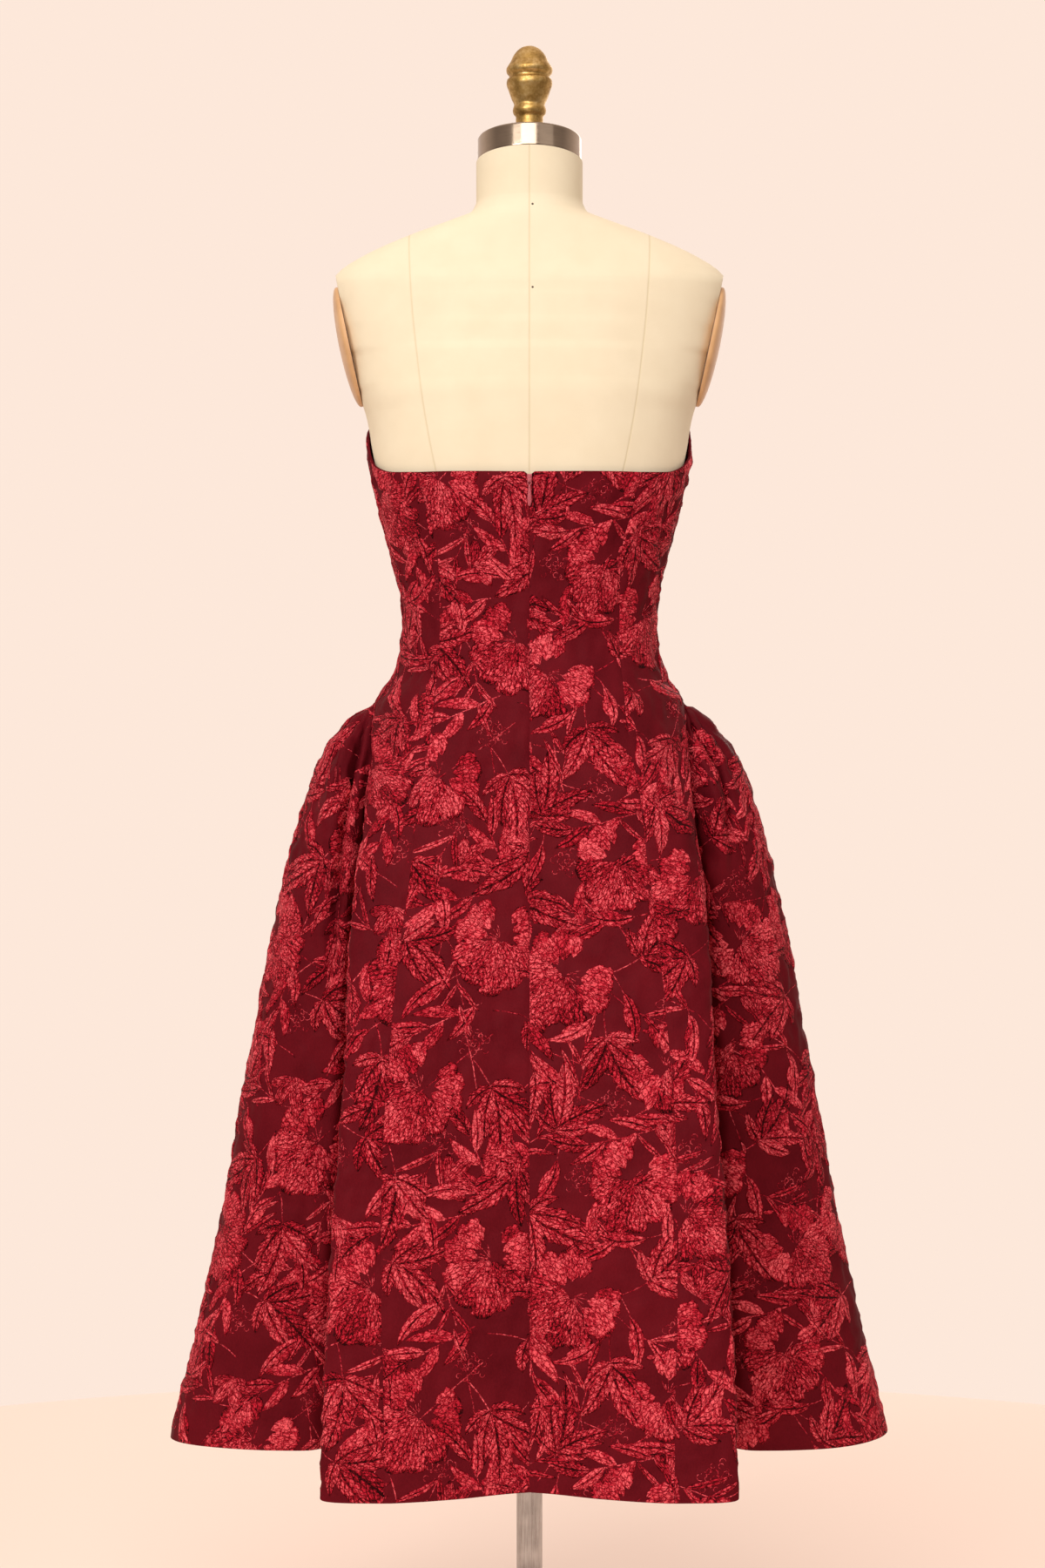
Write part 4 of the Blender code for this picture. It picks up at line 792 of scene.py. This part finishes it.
def lay_figures(name, surface, phase, material):
    """Draws the figures flat, cuts them at the panel's edges, and lays them on its outer face."""
    art = panel_drawing(surface, phase)
    places = np.concatenate(art.places)
    rows, columns = surface.places.shape[0] - 1, surface.places.shape[1] - 1
    middle = surface.down.shape[1] // 2
    row_at = np.interp(places[:, 1], surface.down[:, middle] * 1000, np.arange(rows + 1))
    # where the anchor falls in its row, and how many millimetres a column and a row are there
    width = surface.across[row_at.astype(int), -1] * 1000
    guess = np.clip(places[:, 0] / width, 0, 1)
    spot = np.array([np.interp(x, surface.across[int(i)] * 1000, np.arange(columns + 1))
                     for x, i in zip(np.clip(places[:, 0], 0, width), row_at)])
    i0, j0 = np.clip(row_at.astype(int), 1, rows - 1), np.clip(spot.astype(int), 1, columns - 1)
    per_column = (surface.across[i0, j0 + 1] - surface.across[i0, j0 - 1]) * 500
    per_row = (surface.down[i0 + 1, j0] - surface.down[i0 - 1, j0]) * 500
    beyond_x = places[:, 0] - guess * width
    beyond_y = places[:, 1] - np.clip(places[:, 1], 0, surface.down[-1, middle] * 1000)
    j = spot + (places[:, 2] + beyond_x) / per_column
    i = row_at + (places[:, 3] + beyond_y) / per_row
    drawn = bpy.data.meshes.new("drawn")
    flat = np.stack([j / columns, i / rows, places[:, 4]], -1)
    drawn.from_pydata(flat, [], np.concatenate(art.faces))
    for layer, values in (("leaf", art.leaves), ("flow", art.flows)):
        values = np.concatenate(values).astype(np.float32).ravel()
        drawn.attributes.new(layer, "FLOAT_VECTOR", "POINT").data.foreach_set("vector", values)
    bm = bmesh.new()
    bm.from_mesh(drawn)
    bpy.data.meshes.remove(drawn)
    for place, normal in (((0, 0, 0), (-1, 0, 0)), ((1, 0, 0), (1, 0, 0)),
                          ((0, 0, 0), (0, -1, 0)), ((0, 1, 0), (0, 1, 0))):
        bmesh.ops.bisect_plane(bm, geom=[*bm.verts, *bm.edges, *bm.faces], dist=1e-7,
                               plane_co=place, plane_no=normal, clear_outer=True)
    flat = np.array([vert.co for vert in bm.verts])
    j, i, height = flat[:, 0] * columns, flat[:, 1] * rows, flat[:, 2]
    across = grid_value(surface.across, i, j)
    wide = np.interp(i, np.arange(rows + 1), surface.across[:, -1])
    down = grid_value(surface.down, i, j)
    deep = np.interp(j, np.arange(columns + 1), surface.down[-1])
    edge = np.minimum(np.minimum(across, wide - across), np.minimum(down, deep - down)) * 1000
    height = SUNK + (height - SUNK) * smooth_step(edge / EDGE_SINK)
    normals = grid_value(surface.normals, i, j)
    laid = grid_value(surface.places, i, j) + unit(normals) * (height / 1000)[:, None]
    for vert, place in zip(bm.verts, laid):
        vert.co = place
    bm.normal_update()
    bm.verts.index_update()
    for face in bm.faces:
        if face.normal.dot(Vector(normals[face.verts[0].index])) < 0:
            face.normal_flip()
    return add_piece(name, bm, material, DRESS_BODY, smooth_angle=180)


def crinkled_figure():
    """Puckered red weave: tight crinkles of 5 mm, with painted highlights on their crests and
    painted shade in their creases over a real bump of the same pattern, and darker veins drawn
    where a leaf has them."""
    made, tree, shader, place = new_finish("crinkled red figure", Specular_IOR_Level=0.06)
    leaf, flow = (add_node(tree, "Attribute", attribute_name=name).outputs["Vector"]
                  for name in ("leaf", "flow"))
    along, across, style = add_node(tree, "SeparateXYZ", {0: leaf}).outputs
    each_leaf = add_node(tree, "SeparateXYZ", {0: flow}).outputs["Z"]

    # long creases that run with the leaf, where a drawn-out noise crosses its middle: painted shade
    # along them, and a real bump
    folds = reckon(tree, "SUBTRACT", speckle(tree, flow, 1.0, 2.5, Roughness=0.6), 0.5)
    crease_height_and_shade = spread(tree, reckon(tree, "ABSOLUTE", folds), 0.0, 0.055)
    # tight crinkles 5 mm across between them, broken up by a finer grain: painted shade at the
    # cells' edges, painted highlights in their middles, and a real bump
    warp = speckle(tree, place, 260.0, 2.0)
    bend = {0: warp.outputs["Color"], 1: (0.003, 0.003, 0.003), 2: place}
    bent = add_node(tree, "VectorMath", bend, operation="MULTIPLY_ADD")
    crinkle_height_and_shade = add_node(tree, "TexVoronoi", {"Vector": bent, "Scale": 190.0},
                     feature="DISTANCE_TO_EDGE")
    crinkle_height_and_shade = spread(tree, crinkle_height_and_shade, 0.0, 0.12)
    grain = spread(tree, speckle(tree, place, 620.0, 4.0, Roughness=0.65), 0.28, 0.72)
    # leaves differ a little in tone, and so do patches of each
    own = add_node(tree, "TexNoise", {"W": each_leaf, "Scale": 1.0, "Detail": 0.0},
                   noise_dimensions="1D")
    cloud = reckon(tree, "ADD", speckle(tree, place, 75.0, 2.0), own)
    value = spread(tree, cloud, 0.65, 1.35, -0.2, 0.2)
    # painted light and shade: crinkle crests lighter and creases darker; the same value also drives
    # the bump
    for part, weight in ((grain, 0.22), (crinkle_height_and_shade, 0.30), (crease_height_and_shade, 0.40)):
        value = reckon(tree, "MULTIPLY_ADD", part, weight, value)

    # veins: a midrib, side veins that run out from it, and petal veins that run lengthwise,
    # darkened as painted shade in their grooves; the same value dents the bump along them
    off_rib = reckon(tree, "ABSOLUTE", across)
    midrib = spread(tree, off_rib, 0.05, 0.17, 1.0, 0.0)
    slope = reckon(tree, "MULTIPLY_ADD", off_rib, -2.0, reckon(tree, "MULTIPLY", along, 9.0))
    side_veins = spread(tree, reckon(tree, "PINGPONG", slope, 0.5), 0.03, 0.13, 0.8, 0.0)
    wander = reckon(tree, "MULTIPLY_ADD", warp, 0.5, across)
    petal_veins = spread(tree, reckon(tree, "PINGPONG", wander, 0.17), 0.01, 0.06, 0.7, 0.0)
    vein_dent_and_shade = 0.0
    for lines, centre, reach in ((midrib, MIDRIB + 0.5, 0.8), (side_veins, VEINED, 0.3),
                                 (petal_veins, PETAL, 0.3)):
        shown = reckon(tree, "COMPARE", style, centre, reach)
        vein_dent_and_shade = reckon(tree, "MAXIMUM", vein_dent_and_shade, reckon(tree, "MULTIPLY", lines, shown))
    value = reckon(tree, "MULTIPLY_ADD", vein_dent_and_shade, -0.5, value)

    # painted shade: the rim and the outer end of each leaf are darkened where they fall away; the
    # same value lowers the bump there
    edge = reckon(tree, "MAXIMUM", spread(tree, off_rib, 0.8, 0.97, 0.0, 0.42),
                  spread(tree, along, 0.88, 0.98, 0.0, 0.42))
    value = reckon(tree, "SUBTRACT", value, edge)
    # the ramp runs from painted shade, #36060c, up to painted highlights, #ff6670
    tone = tones(tree, value, (0.06, "#36060c"), (0.34, "#8a0f1c"), (0.64, "#c82036"),
                 (0.95, "#ff6670"))
    dress(tree, shader, tone, spread(tree, grain, 0.0, 1.0, 0.48, 0.72), (value, 1.0, 0.0024))
    return made


# How far the chart's corner lies from each panel's, in millimetres.
PHASES = {"center_back_left": (20, -68), "center_back_right": (-150, 30),
          "side_back_left": (-60, 160), "side_back_right": (90, 210),
          "side_skirt_left": (40, 90), "side_skirt_right": (-120, 10),
          "side_front_left": (130, 60), "side_front_right": (-20, 140), "center_front": (60, 0)}
figure_red = crinkled_figure()
for name, surface in surfaces.items():
    figures = lay_figures(name + "_figure", surface, PHASES[name], figure_red)

# Zip: a woven tape behind the centre back seam, a coil of nylon teeth sewn to it, and a cast
# slider whose eye and drop-shaped pull hang outside the neckline. Slider and pull are lacquered
# in dusty pink.
ZIP_TOP = 1.2140
ZIP_END = 0.9600
TAPE_HALF_WIDTH = 0.0120
TAPE_THICKNESS = 0.0007
TAPE_GAP = 0.0006
tape_weave, tree, shader, place = new_finish("woven zip tape", Roughness=0.85,
                                             Specular_IOR_Level=0.15)
# a herringbone of 0.4 mm yarns, drawn at 1 mm so that it shows
ribs = add_node(tree, "TexWave", {"Vector": place, "Scale": 160.0, "Distortion": 1.0},
                bands_direction="DIAGONAL")
dress(tree, shader, tones(tree, ribs, (0.2, "#4c0c15"), (0.8, "#7a1a26")), bump=(ribs, 0.4, 0.0003))
bm, outer = wall_grid(6, 90)
for vert in bm.verts:
    z = ZIP_TOP + (vert.co.y - 0.5) * (ZIP_TOP - ZIP_END)
    x = 2 * TAPE_HALF_WIDTH * vert.co.x
    centre, seam = (point[0] for point in outline(BACK, np.array([z]))[:2])
    share = abs(x) / (3 * CENTRE_REACH * np.linalg.norm(seam - centre))
    back = plan("center_back", "left", np.array([share]), np.array([z]))[0, 1]
    vert.co = (x, back - WALL - TAPE_GAP - (0 if vert in outer else TAPE_THICKNESS), z)
bmesh.ops.recalc_face_normals(bm, faces=bm.faces)
tape = add_piece("zip_tape_strip", bm, tape_weave, DRESS_BODY, ["zip_tape"])

COIL_RADIUS = 0.0011
COIL_WIRE = 0.0003
COIL_OFF = 0.0003        # how far each half of the coil stands off the middle
COIL_STEPS = 6
COIL_DOUBLINGS = 8       # 256 turns down the tape, 1 mm apart
coil_nylon, tree, shader, place = new_finish("spun nylon coil", Roughness=0.4)
sheen = speckle(tree, place, 900.0, 2.0)
dress(tree, shader, tones(tree, sheen, (0.3, "#8a2f3b"), (0.7, "#b35862")))
bm = bmesh.new()
pitch = (ZIP_TOP - ZIP_END) / 2**COIL_DOUBLINGS
for side in (1, -1):
    wire = bmesh.ops.create_circle(bm, segments=4, radius=COIL_WIRE, cap_ends=False)["verts"]
    bmesh.ops.rotate(bm, verts=wire, cent=(0, 0, 0), matrix=Matrix.Rotation(math.pi / 2, 3, "X"))
    bmesh.ops.translate(bm, verts=wire,
                        vec=(side * (COIL_RADIUS + COIL_OFF), 0, ZIP_TOP - COIL_WIRE))
    section = [*wire, *{edge for vert in wire for edge in vert.link_edges}]
    bmesh.ops.spin(bm, geom=section, cent=(side * COIL_OFF, 0, 0), axis=(0, 0, side),
                   steps=COIL_STEPS, angle=math.tau, dvec=(0, 0, -pitch / COIL_STEPS))
for doubling in range(COIL_DOUBLINGS):
    copy = bmesh.ops.duplicate(bm, geom=[*bm.verts, *bm.edges, *bm.faces])["geom"]
    copied = [item for item in copy if isinstance(item, bmesh.types.BMVert)]
    bmesh.ops.translate(bm, verts=copied, vec=(0, 0, -pitch * 2**doubling))
bmesh.ops.remove_doubles(bm, verts=bm.verts, dist=1e-6)
bmesh.ops.holes_fill(bm, edges=bm.edges, sides=4)
for vert in bm.verts:
    vert.co.y += read(BACK, "centre", vert.co.z) - WALL - COIL_RADIUS + 0.0002
bmesh.ops.recalc_face_normals(bm, faces=bm.faces)
add_piece("zip_coil", bm, coil_nylon, DRESS_BODY)

# Lacquer over a zinc casting: smooth and glossy, a little worn, with fine pitting under it.
lacquer, tree, shader, place = new_finish("dusty pink lacquer", Coat_Weight=0.25,
                                          Coat_Roughness=0.2)
pitting = speckle(tree, place, 700.0, 4.0)
dress(tree, shader, tones(tree, pitting, (0.35, "#a2444f"), (0.65, "#c9636d")),
      spread(tree, pitting, 0.0, 1.0, 0.22, 0.5), (pitting, 0.15, 0.0001))
for node in ("zip_slider", "zip_pull_ring", "zip_pull_tab"):
    for material_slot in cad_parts[node].material_slots:
        material_slot.material = lacquer

# Form: a padded torso covered in cream linen with pressed princess seams, cut flat at the arms,
# the neck and the underside. The dress fits it with a little room.
FORM_CLEARANCE = 0.0045
BUST_HEIGHT = 1.2700
BUST_CLEARANCE = 0.0062
FORM_BOTTOM = 0.8100
NECK_RADIUS = 0.0525
NECK_TOP = 1.5339
CAP_TILT = math.radians(8.7)
ARM_CUT_LOW = Vector((0.1633, 0, 1.2920))
ARM_CUT_HIGH = Vector((0.1892, 0, 1.4147))
Ring = namedtuple("Ring", "z half_width back front square")
FORM_RINGS = [
    Ring(FORM_BOTTOM, 0.1400, 0.1000, 0.0990, 2.3),
    Ring(FORM_BOTTOM + 0.006, 0.1480, 0.1060, 0.1050, 2.3),
    Ring(0.840, 0.1550, 0.1110, 0.1100, 2.3), Ring(0.880, 0.1590, 0.1140, 0.1130, 2.3),
    Ring(0.920, 0.1575, 0.1130, 0.1140, 2.2), Ring(0.945, 0.1550, 0.1115, 0.1140, 2.2),
    Ring(0.970, 0.1515, 0.1090, 0.1125, 2.2), Ring(1.345, 0.1900, 0.0980, 0.1150, 2.4),
    Ring(1.370, 0.1960, 0.0950, 0.0990, 2.3), Ring(1.395, 0.1985, 0.0870, 0.0810, 2.2),
    Ring(1.412, 0.1975, 0.0800, 0.0670, 2.1), Ring(1.421, 0.1930, 0.0760, 0.0600, 2.0),
    Ring(1.4284, 0.1860, 0.0730, 0.0560, 2.0), Ring(1.4448, 0.1585, 0.0680, 0.0520, 2.0),
    Ring(1.4620, 0.1185, 0.0640, 0.0505, 2.0), Ring(1.4740, 0.0845, 0.0610, 0.0510, 2.0),
    Ring(1.4845, 0.0580, 0.0575, 0.0515, 2.0), Ring(1.4960, NECK_RADIUS, 0.0540, 0.0520, 2.0),
    Ring(1.5800, NECK_RADIUS, NECK_RADIUS, NECK_RADIUS, 2.0),
]
COVERED_HEIGHTS = [1.000, 1.025, 1.050, 1.081, 1.115, 1.150, 1.185, 1.215, 1.240, 1.262, 1.285,
                   1.310]
ARM_LINE = ARM_CUT_HIGH - ARM_CUT_LOW
ARM_TILT = math.atan2(ARM_LINE.x, ARM_LINE.z)
ARM_OUT = Vector((math.cos(ARM_TILT), 0, -math.sin(ARM_TILT)))


def covered_ring(z):
    """Half the form under the cloth at a height: the dress's outline moved in by the clearance."""
    room = BUST_CLEARANCE if z > BUST_HEIGHT else FORM_CLEARANCE
    halves = []
    for face in ("back", "front"):
        half = []
        for panel, shares in (("center_" + face, np.linspace(0, 1, 13)[:-1]),
                              ("side_" + face, np.linspace(0, 1, 25))):
            shares = shares if face == "back" else 1 - shares
            level = np.full_like(shares, z)
            place = plan(panel, "left", shares, level)
            tangent = unit(plan(panel, "left", np.clip(shares + 0.002, 0, 1), level)
                           - plan(panel, "left", np.clip(shares - 0.002, 0, 1), level))
            outward = np.stack([-tangent[:, 1], tangent[:, 0]], -1)
            half.append(place[:, :2] - outward * room)
        halves.append(np.concatenate(half))
    back, front = halves
    back[-1] = front[-1] = (back[-1] + front[-1]) / 2
    back[0, 0] = front[0, 0] = 0
    return np.concatenate([back, front[-2::-1]])


def bare_ring(ring, directions):
    """Half a ring of the form given by its half width and depths."""
    depth = np.where(directions[:, 1] > 0, ring.back, ring.front)
    across, deep = directions[:, 0] / ring.half_width, directions[:, 1] / depth
    size = abs(across) ** ring.square + abs(deep) ** ring.square
    return directions * (size ** (-1 / ring.square))[:, None]


directions = covered_ring(COVERED_HEIGHTS[0])
rings = {ring.z: bare_ring(ring, directions) for ring in FORM_RINGS}
rings.update({z: covered_ring(z) for z in COVERED_HEIGHTS})
levels = np.array(sorted(rings))
steps = np.unique(np.concatenate([levels, np.arange(FORM_BOTTOM, 1.58, 0.006)]))
half_rings = smooth(levels, np.array([rings[z] for z in levels]), steps)
# the shaped and the round rings meet at the armhole: eased into each other there
ARMHOLE_LOW = 1.300
ARMHOLE_HIGH = 1.385
EASE_IN = 0.03
inside = steps[1:-1]
ease = smooth_step((inside - ARMHOLE_LOW) / EASE_IN)
ease = (ease * (1 - smooth_step((inside - ARMHOLE_HIGH) / EASE_IN)))[:, None, None]
for _ in range(400):
    bend = half_rings[2:] - 2 * half_rings[1:-1] + half_rings[:-2]
    half_rings[1:-1] += 0.25 * bend * ease
full_rings = np.concatenate([half_rings, half_rings[:, -2::-1] * np.array([-1, 1])], 1)
bm = bmesh.new()
ring_cells, level_cells = full_rings.shape[1] - 1, len(steps) - 1
bmesh.ops.create_grid(bm, x_segments=ring_cells, y_segments=level_cells, size=0.5)
for vert in bm.verts:
    i, j = round((vert.co.y + 0.5) * level_cells), round((vert.co.x + 0.5) * ring_cells)
    vert.co = (*full_rings[i, j], steps[i])
bmesh.ops.remove_doubles(bm, verts=bm.verts, dist=1e-6)
other_side = Vector((-1, 1, 1))
for place, normal in ((ARM_CUT_LOW, ARM_OUT), (ARM_CUT_LOW * other_side, ARM_OUT * other_side),
                      ((0, 0, NECK_TOP), (0, -math.sin(CAP_TILT), math.cos(CAP_TILT)))):
    bmesh.ops.bisect_plane(bm, geom=[*bm.verts, *bm.edges, *bm.faces], dist=1e-6,
                           plane_co=place, plane_no=normal, clear_outer=True)
bmesh.ops.holes_fill(bm, edges=bm.edges)
bmesh.ops.recalc_face_normals(bm, faces=bm.faces)

# Smooth linen drawn tight: an even cream with hardly any grain, and faint pressed seams.
linen, tree, shader, place = new_finish("cream plain-weave linen", Roughness=0.9,
                                        Specular_IOR_Level=0.25)
# 0.5 mm threads, drawn at 1 mm so that the weave shows
weave = reckon(tree, "MULTIPLY", *(
    add_node(tree, "TexWave", {"Vector": place, "Scale": 320.0, "Distortion": 0.6},
             bands_direction=run) for run in "XZ"))
out, _, up = add_node(tree, "SeparateXYZ", {0: place}).outputs
# the princess seams: how far out from the middle they lie at each height
SEAM_LOW = 1.2
SEAM_HIGH = 1.5
seam_place = add_node(tree, "FloatCurve", {"Value": spread(tree, up, SEAM_LOW, SEAM_HIGH)})
curve = seam_place.mapping.curves[0]
curve.points[0].location = (0.0, 0.0850)
curve.points[1].location = (1.0, 0.1190)
for height, reach in ((1.2735, 0.1000), (1.34, 0.1090), (1.391, 0.1140)):
    curve.points.new((height - SEAM_LOW) / (SEAM_HIGH - SEAM_LOW), reach)
seam_place.mapping.update()
off_middle = reckon(tree, "ABSOLUTE", out)
off_seam = reckon(tree, "ABSOLUTE", reckon(tree, "SUBTRACT", off_middle, seam_place))
seam_line = spread(tree, reckon(tree, "MINIMUM", off_seam, off_middle), 0.0, 0.0013)
cloth_tone = tones(tree, blend(tree, 0.12, speckle(tree, place, 30.0, 4.0), weave),
                   (0.3, "#ecdfc3"), (0.65, "#f0e4c9"))
seamed = add_node(tree, "Mix", {0: seam_line, 6: linear("#e0d1b0"), 7: cloth_tone},
                  data_type="RGBA")
raised = reckon(tree, "MULTIPLY_ADD", weave, 0.12, seam_line)
dress(tree, shader, seamed.outputs[2], bump=(raised, 0.4, 0.0006))
add_piece("form_cover", bm, linen, DRESS_BODY, ["form_torso"], smooth_angle=50)

# Pins: two steel pins pushed in flat at the nape and between the shoulders, to hold the cover.
PIN_HEAD = 0.0011
PINS = [(-0.003, 1.4835), (-0.003, 1.3990)]
bm = bmesh.new()
for x, z in PINS:
    head = bmesh.ops.create_uvsphere(bm, u_segments=20, v_segments=10, radius=PIN_HEAD)["verts"]
    bmesh.ops.scale(bm, verts=head, vec=(1, 0.45, 1))
    bmesh.ops.translate(bm, verts=head, vec=(x, np.interp(z, steps, half_rings[:, 0, 1]), z))
pin_steel = brushed_metal("dull steel pin", "#4b4038", "#7a6d60", (900, 900, 900), 0.4)
add_piece("pin_heads", bm, pin_steel, DRESS_BODY)

# Arm plates: domed oval covers in smooth tan cloth, fixed over the arm cuts.
PLATE_HALF_HEIGHT = 0.0600
PLATE_HALF_DEPTH = 0.0400
PLATE_DOME = 0.0110
PLATE_EDGE = 0.0020
TOUCH_GAP = 0.0003
tan, tree, shader, place = new_finish("tan satin cover", Roughness=0.55, Sheen_Weight=0.2)
mottle = speckle(tree, place, 45.0, 4.0)
dress(tree, shader, tones(tree, mottle, (0.3, "#c39566"), (0.7, "#d9ab79")),
      bump=(speckle(tree, place, 900.0, 2.0), 0.2, 0.0003))
for side in ("left", "right"):
    bm = bmesh.new()
    bmesh.ops.create_uvsphere(bm, u_segments=64, v_segments=32, radius=1)
    bmesh.ops.rotate(bm, verts=bm.verts, cent=(0, 0, 0),
                     matrix=Matrix.Rotation(math.pi / 2, 3, "Y"))
    made = bmesh.ops.bisect_plane(bm, geom=[*bm.verts, *bm.edges, *bm.faces], dist=1e-6,
                                  plane_co=(0, 0, 0), plane_no=(1, 0, 0), clear_inner=True)
    rim = [item for item in made["geom_cut"] if isinstance(item, bmesh.types.BMEdge)]
    bmesh.ops.scale(bm, verts=bm.verts,
                    vec=(PLATE_DOME - PLATE_EDGE, PLATE_HALF_DEPTH, PLATE_HALF_HEIGHT))
    bmesh.ops.translate(bm, verts=bm.verts, vec=(PLATE_EDGE, 0, 0))
    lip = bmesh.ops.extrude_edge_only(bm, edges=rim)
    base = [item for item in lip["geom"] if isinstance(item, bmesh.types.BMVert)]
    bmesh.ops.translate(bm, verts=base, vec=(-PLATE_EDGE, 0, 0))
    bmesh.ops.holes_fill(bm, edges=bm.edges)
    bmesh.ops.transform(bm, matrix=Matrix.Rotation(ARM_TILT, 4, "Y"), verts=bm.verts)
    bmesh.ops.translate(bm, verts=bm.verts,
                        vec=(ARM_CUT_LOW + ARM_CUT_HIGH) / 2 + ARM_OUT * TOUCH_GAP)
    if side == "right":
        bmesh.ops.scale(bm, vec=(-1, 1, 1), verts=bm.verts)
    bmesh.ops.recalc_face_normals(bm, faces=bm.faces)
    add_piece(f"arm_cover_{side}", bm, tan, DRESS_BODY, [f"arm_plate_{side}"])

# Neck cap: a brushed steel disc with a level boss, screwed to the tilted neck.
CAP_HEIGHT = 0.0241
CAP_RADIUS = 0.0512
BOSS_RADIUS = 0.0165
FINIAL_BASE = 1.5700
CAP_EDGE = [Turning(0.0000, CAP_RADIUS - 0.0012), Turning(0.0004, CAP_RADIUS - 0.0004),
            Turning(0.0012, CAP_RADIUS), Turning(0.0022, CAP_RADIUS)]
CAP_SHAPE = CAP_EDGE + [Turning(CAP_HEIGHT - height, radius) for height, radius in CAP_EDGE[::-1]]
cap_steel = brushed_metal("brushed steel cap", "#9a8a7a", "#ab9a88", (60, 60, 1800), 0.18,
                          depth=0.02, turn=0.25, tilt=CAP_TILT)
bm = turned(CAP_SHAPE, 96)
bmesh.ops.translate(bm, verts=bm.verts, vec=(0, 0, TOUCH_GAP))
bmesh.ops.rotate(bm, verts=bm.verts, cent=(0, 0, 0), matrix=Matrix.Rotation(CAP_TILT, 3, "X"))
bmesh.ops.translate(bm, verts=bm.verts, vec=(0, 0, NECK_TOP))
boss_foot, boss_top = NECK_TOP + CAP_HEIGHT / 2, FINIAL_BASE - TOUCH_GAP
boss = bmesh.ops.create_cone(bm, cap_ends=True, segments=48, radius1=BOSS_RADIUS,
                             radius2=BOSS_RADIUS, depth=boss_top - boss_foot)["verts"]
bmesh.ops.translate(bm, verts=boss, vec=(0, 0, (boss_top + boss_foot) / 2))
add_piece("cap_and_boss", bm, cap_steel, DRESS_BODY, ["neck_cap"])

# Finial: cast and turned brass, gone brown and mottled with age, screwed down on the boss.
FINIAL = [Turning(height / TENTH, radius / TENTH) for height, radius in [
    (0, 135), (100, 135), (130, 158), (163, 165), (196, 158), (215, 152), (280, 178), (360, 206),
    (425, 226), (462, 222), (485, 200), (500, 200), (535, 224), (566, 229), (600, 214), (636, 190),
    (700, 160), (750, 122), (785, 75), (800, 30),
]]
brass, tree, shader, place = new_finish("aged cast brass", Metallic=1.0)
worn = blend(tree, 0.4, speckle(tree, place, 120.0, 4.0), speckle(tree, place, 420.0, 3.0))
dress(tree, shader, tones(tree, worn, (0.3, "#8a6a36"), (0.5, "#bb985a"), (0.7, "#e0c288")),
      spread(tree, worn, 0.35, 0.65, 0.52, 0.4), (worn, 0.2, 0.0005))
heights = np.linspace(0, FINIAL[-1].height, 80)
shape = [Turning(FINIAL_BASE + h, r) for h, r in zip(heights, read(FINIAL, "radius", heights))]
add_piece("brass_finial", turned(shape, 56), brass, DRESS_BODY, ["finial"])

# Floor, light and camera: a plain pale floor, soft light from large panels, and the
# photograph's view from behind.
bm = bmesh.new()
bmesh.ops.create_circle(bm, cap_ends=True, segments=96, radius=1.7)
mesh = bpy.data.meshes.new("floor")
bm.to_mesh(mesh)
bm.free()
floor = bpy.data.objects.new("floor", mesh)
bpy.context.scene.collection.objects.link(floor)
pale, tree, shader, place = new_finish("pale floor", Roughness=0.9)
shader.inputs["Base Color"].default_value = linear("#f6e4d9")
mesh.materials.append(pale)
floor.location.z = -0.0005

bpy.context.scene.view_settings.view_transform = "Standard"
world = bpy.data.worlds.new("studio")
bpy.context.scene.world = world
world.use_nodes = True
tree = world.node_tree
backdrop = tree.nodes["Background"]
backdrop.inputs["Color"].default_value = linear("#fbe6d8")
# a lit backdrop ahead of the camera and a pale ceiling, with a dimmer room behind
toward = add_node(tree, "SeparateXYZ", {0: add_node(tree, "TexCoord").outputs["Generated"]})
wall = spread(tree, toward.outputs["Y"], -0.6, 0.2, 1.02, 0.3)
ceiling = spread(tree, toward.outputs["Z"], 0.3, 0.9, 0.3, 1.0)
glow = reckon(tree, "MAXIMUM", wall, ceiling)
tree.links.new(glow.outputs[0], backdrop.inputs["Strength"])


def soft_light(name, place, aim, size, watts, colour):
    data = bpy.data.lights.new(name, "AREA")
    data.shape = "RECTANGLE"
    data.size, data.size_y = size
    data.energy = watts
    data.color = linear(colour)[:3]
    lamp = bpy.data.objects.new(name, data)
    lamp.location = place
    lamp.rotation_euler = (Vector(aim) - Vector(place)).to_track_quat("-Z", "Y").to_euler()
    bpy.context.scene.collection.objects.link(lamp)


soft_light("key", (1.5, 2.9, 2.3), (0, 0, 0.95), (1.1, 1.4), 48, "#fffaf4")
soft_light("softbox", (0.1, 3.1, 3.2), (0, 0, 1.1), (1.9, 1.9), 54, "#fffaf4")
soft_light("fill", (-2.0, 2.4, 2.6), (0, 0, 1.35), (1.8, 1.8), 5, "#fff8f2")
soft_light("front", (-0.6, -3.0, 2.2), (0, 0, 0.9), (2.0, 2.0), 30, "#fff6ee")

DISTANCE = 3.0
EYE_HEIGHT = 0.922
AXIS_SHIFT = 8 / 1800      # the form stands 8 of the photograph's 1800 pixels right of its middle
camera_data = bpy.data.cameras.new("camera")
camera_data.sensor_width = 36
camera_data.lens = 69.8
camera_data.shift_x = -AXIS_SHIFT
camera = bpy.data.objects.new("camera", camera_data)
camera.location = (0, DISTANCE, EYE_HEIGHT)
camera.rotation_euler = (math.radians(90), 0, math.radians(180))
bpy.context.scene.collection.objects.link(camera)
bpy.context.scene.camera = camera
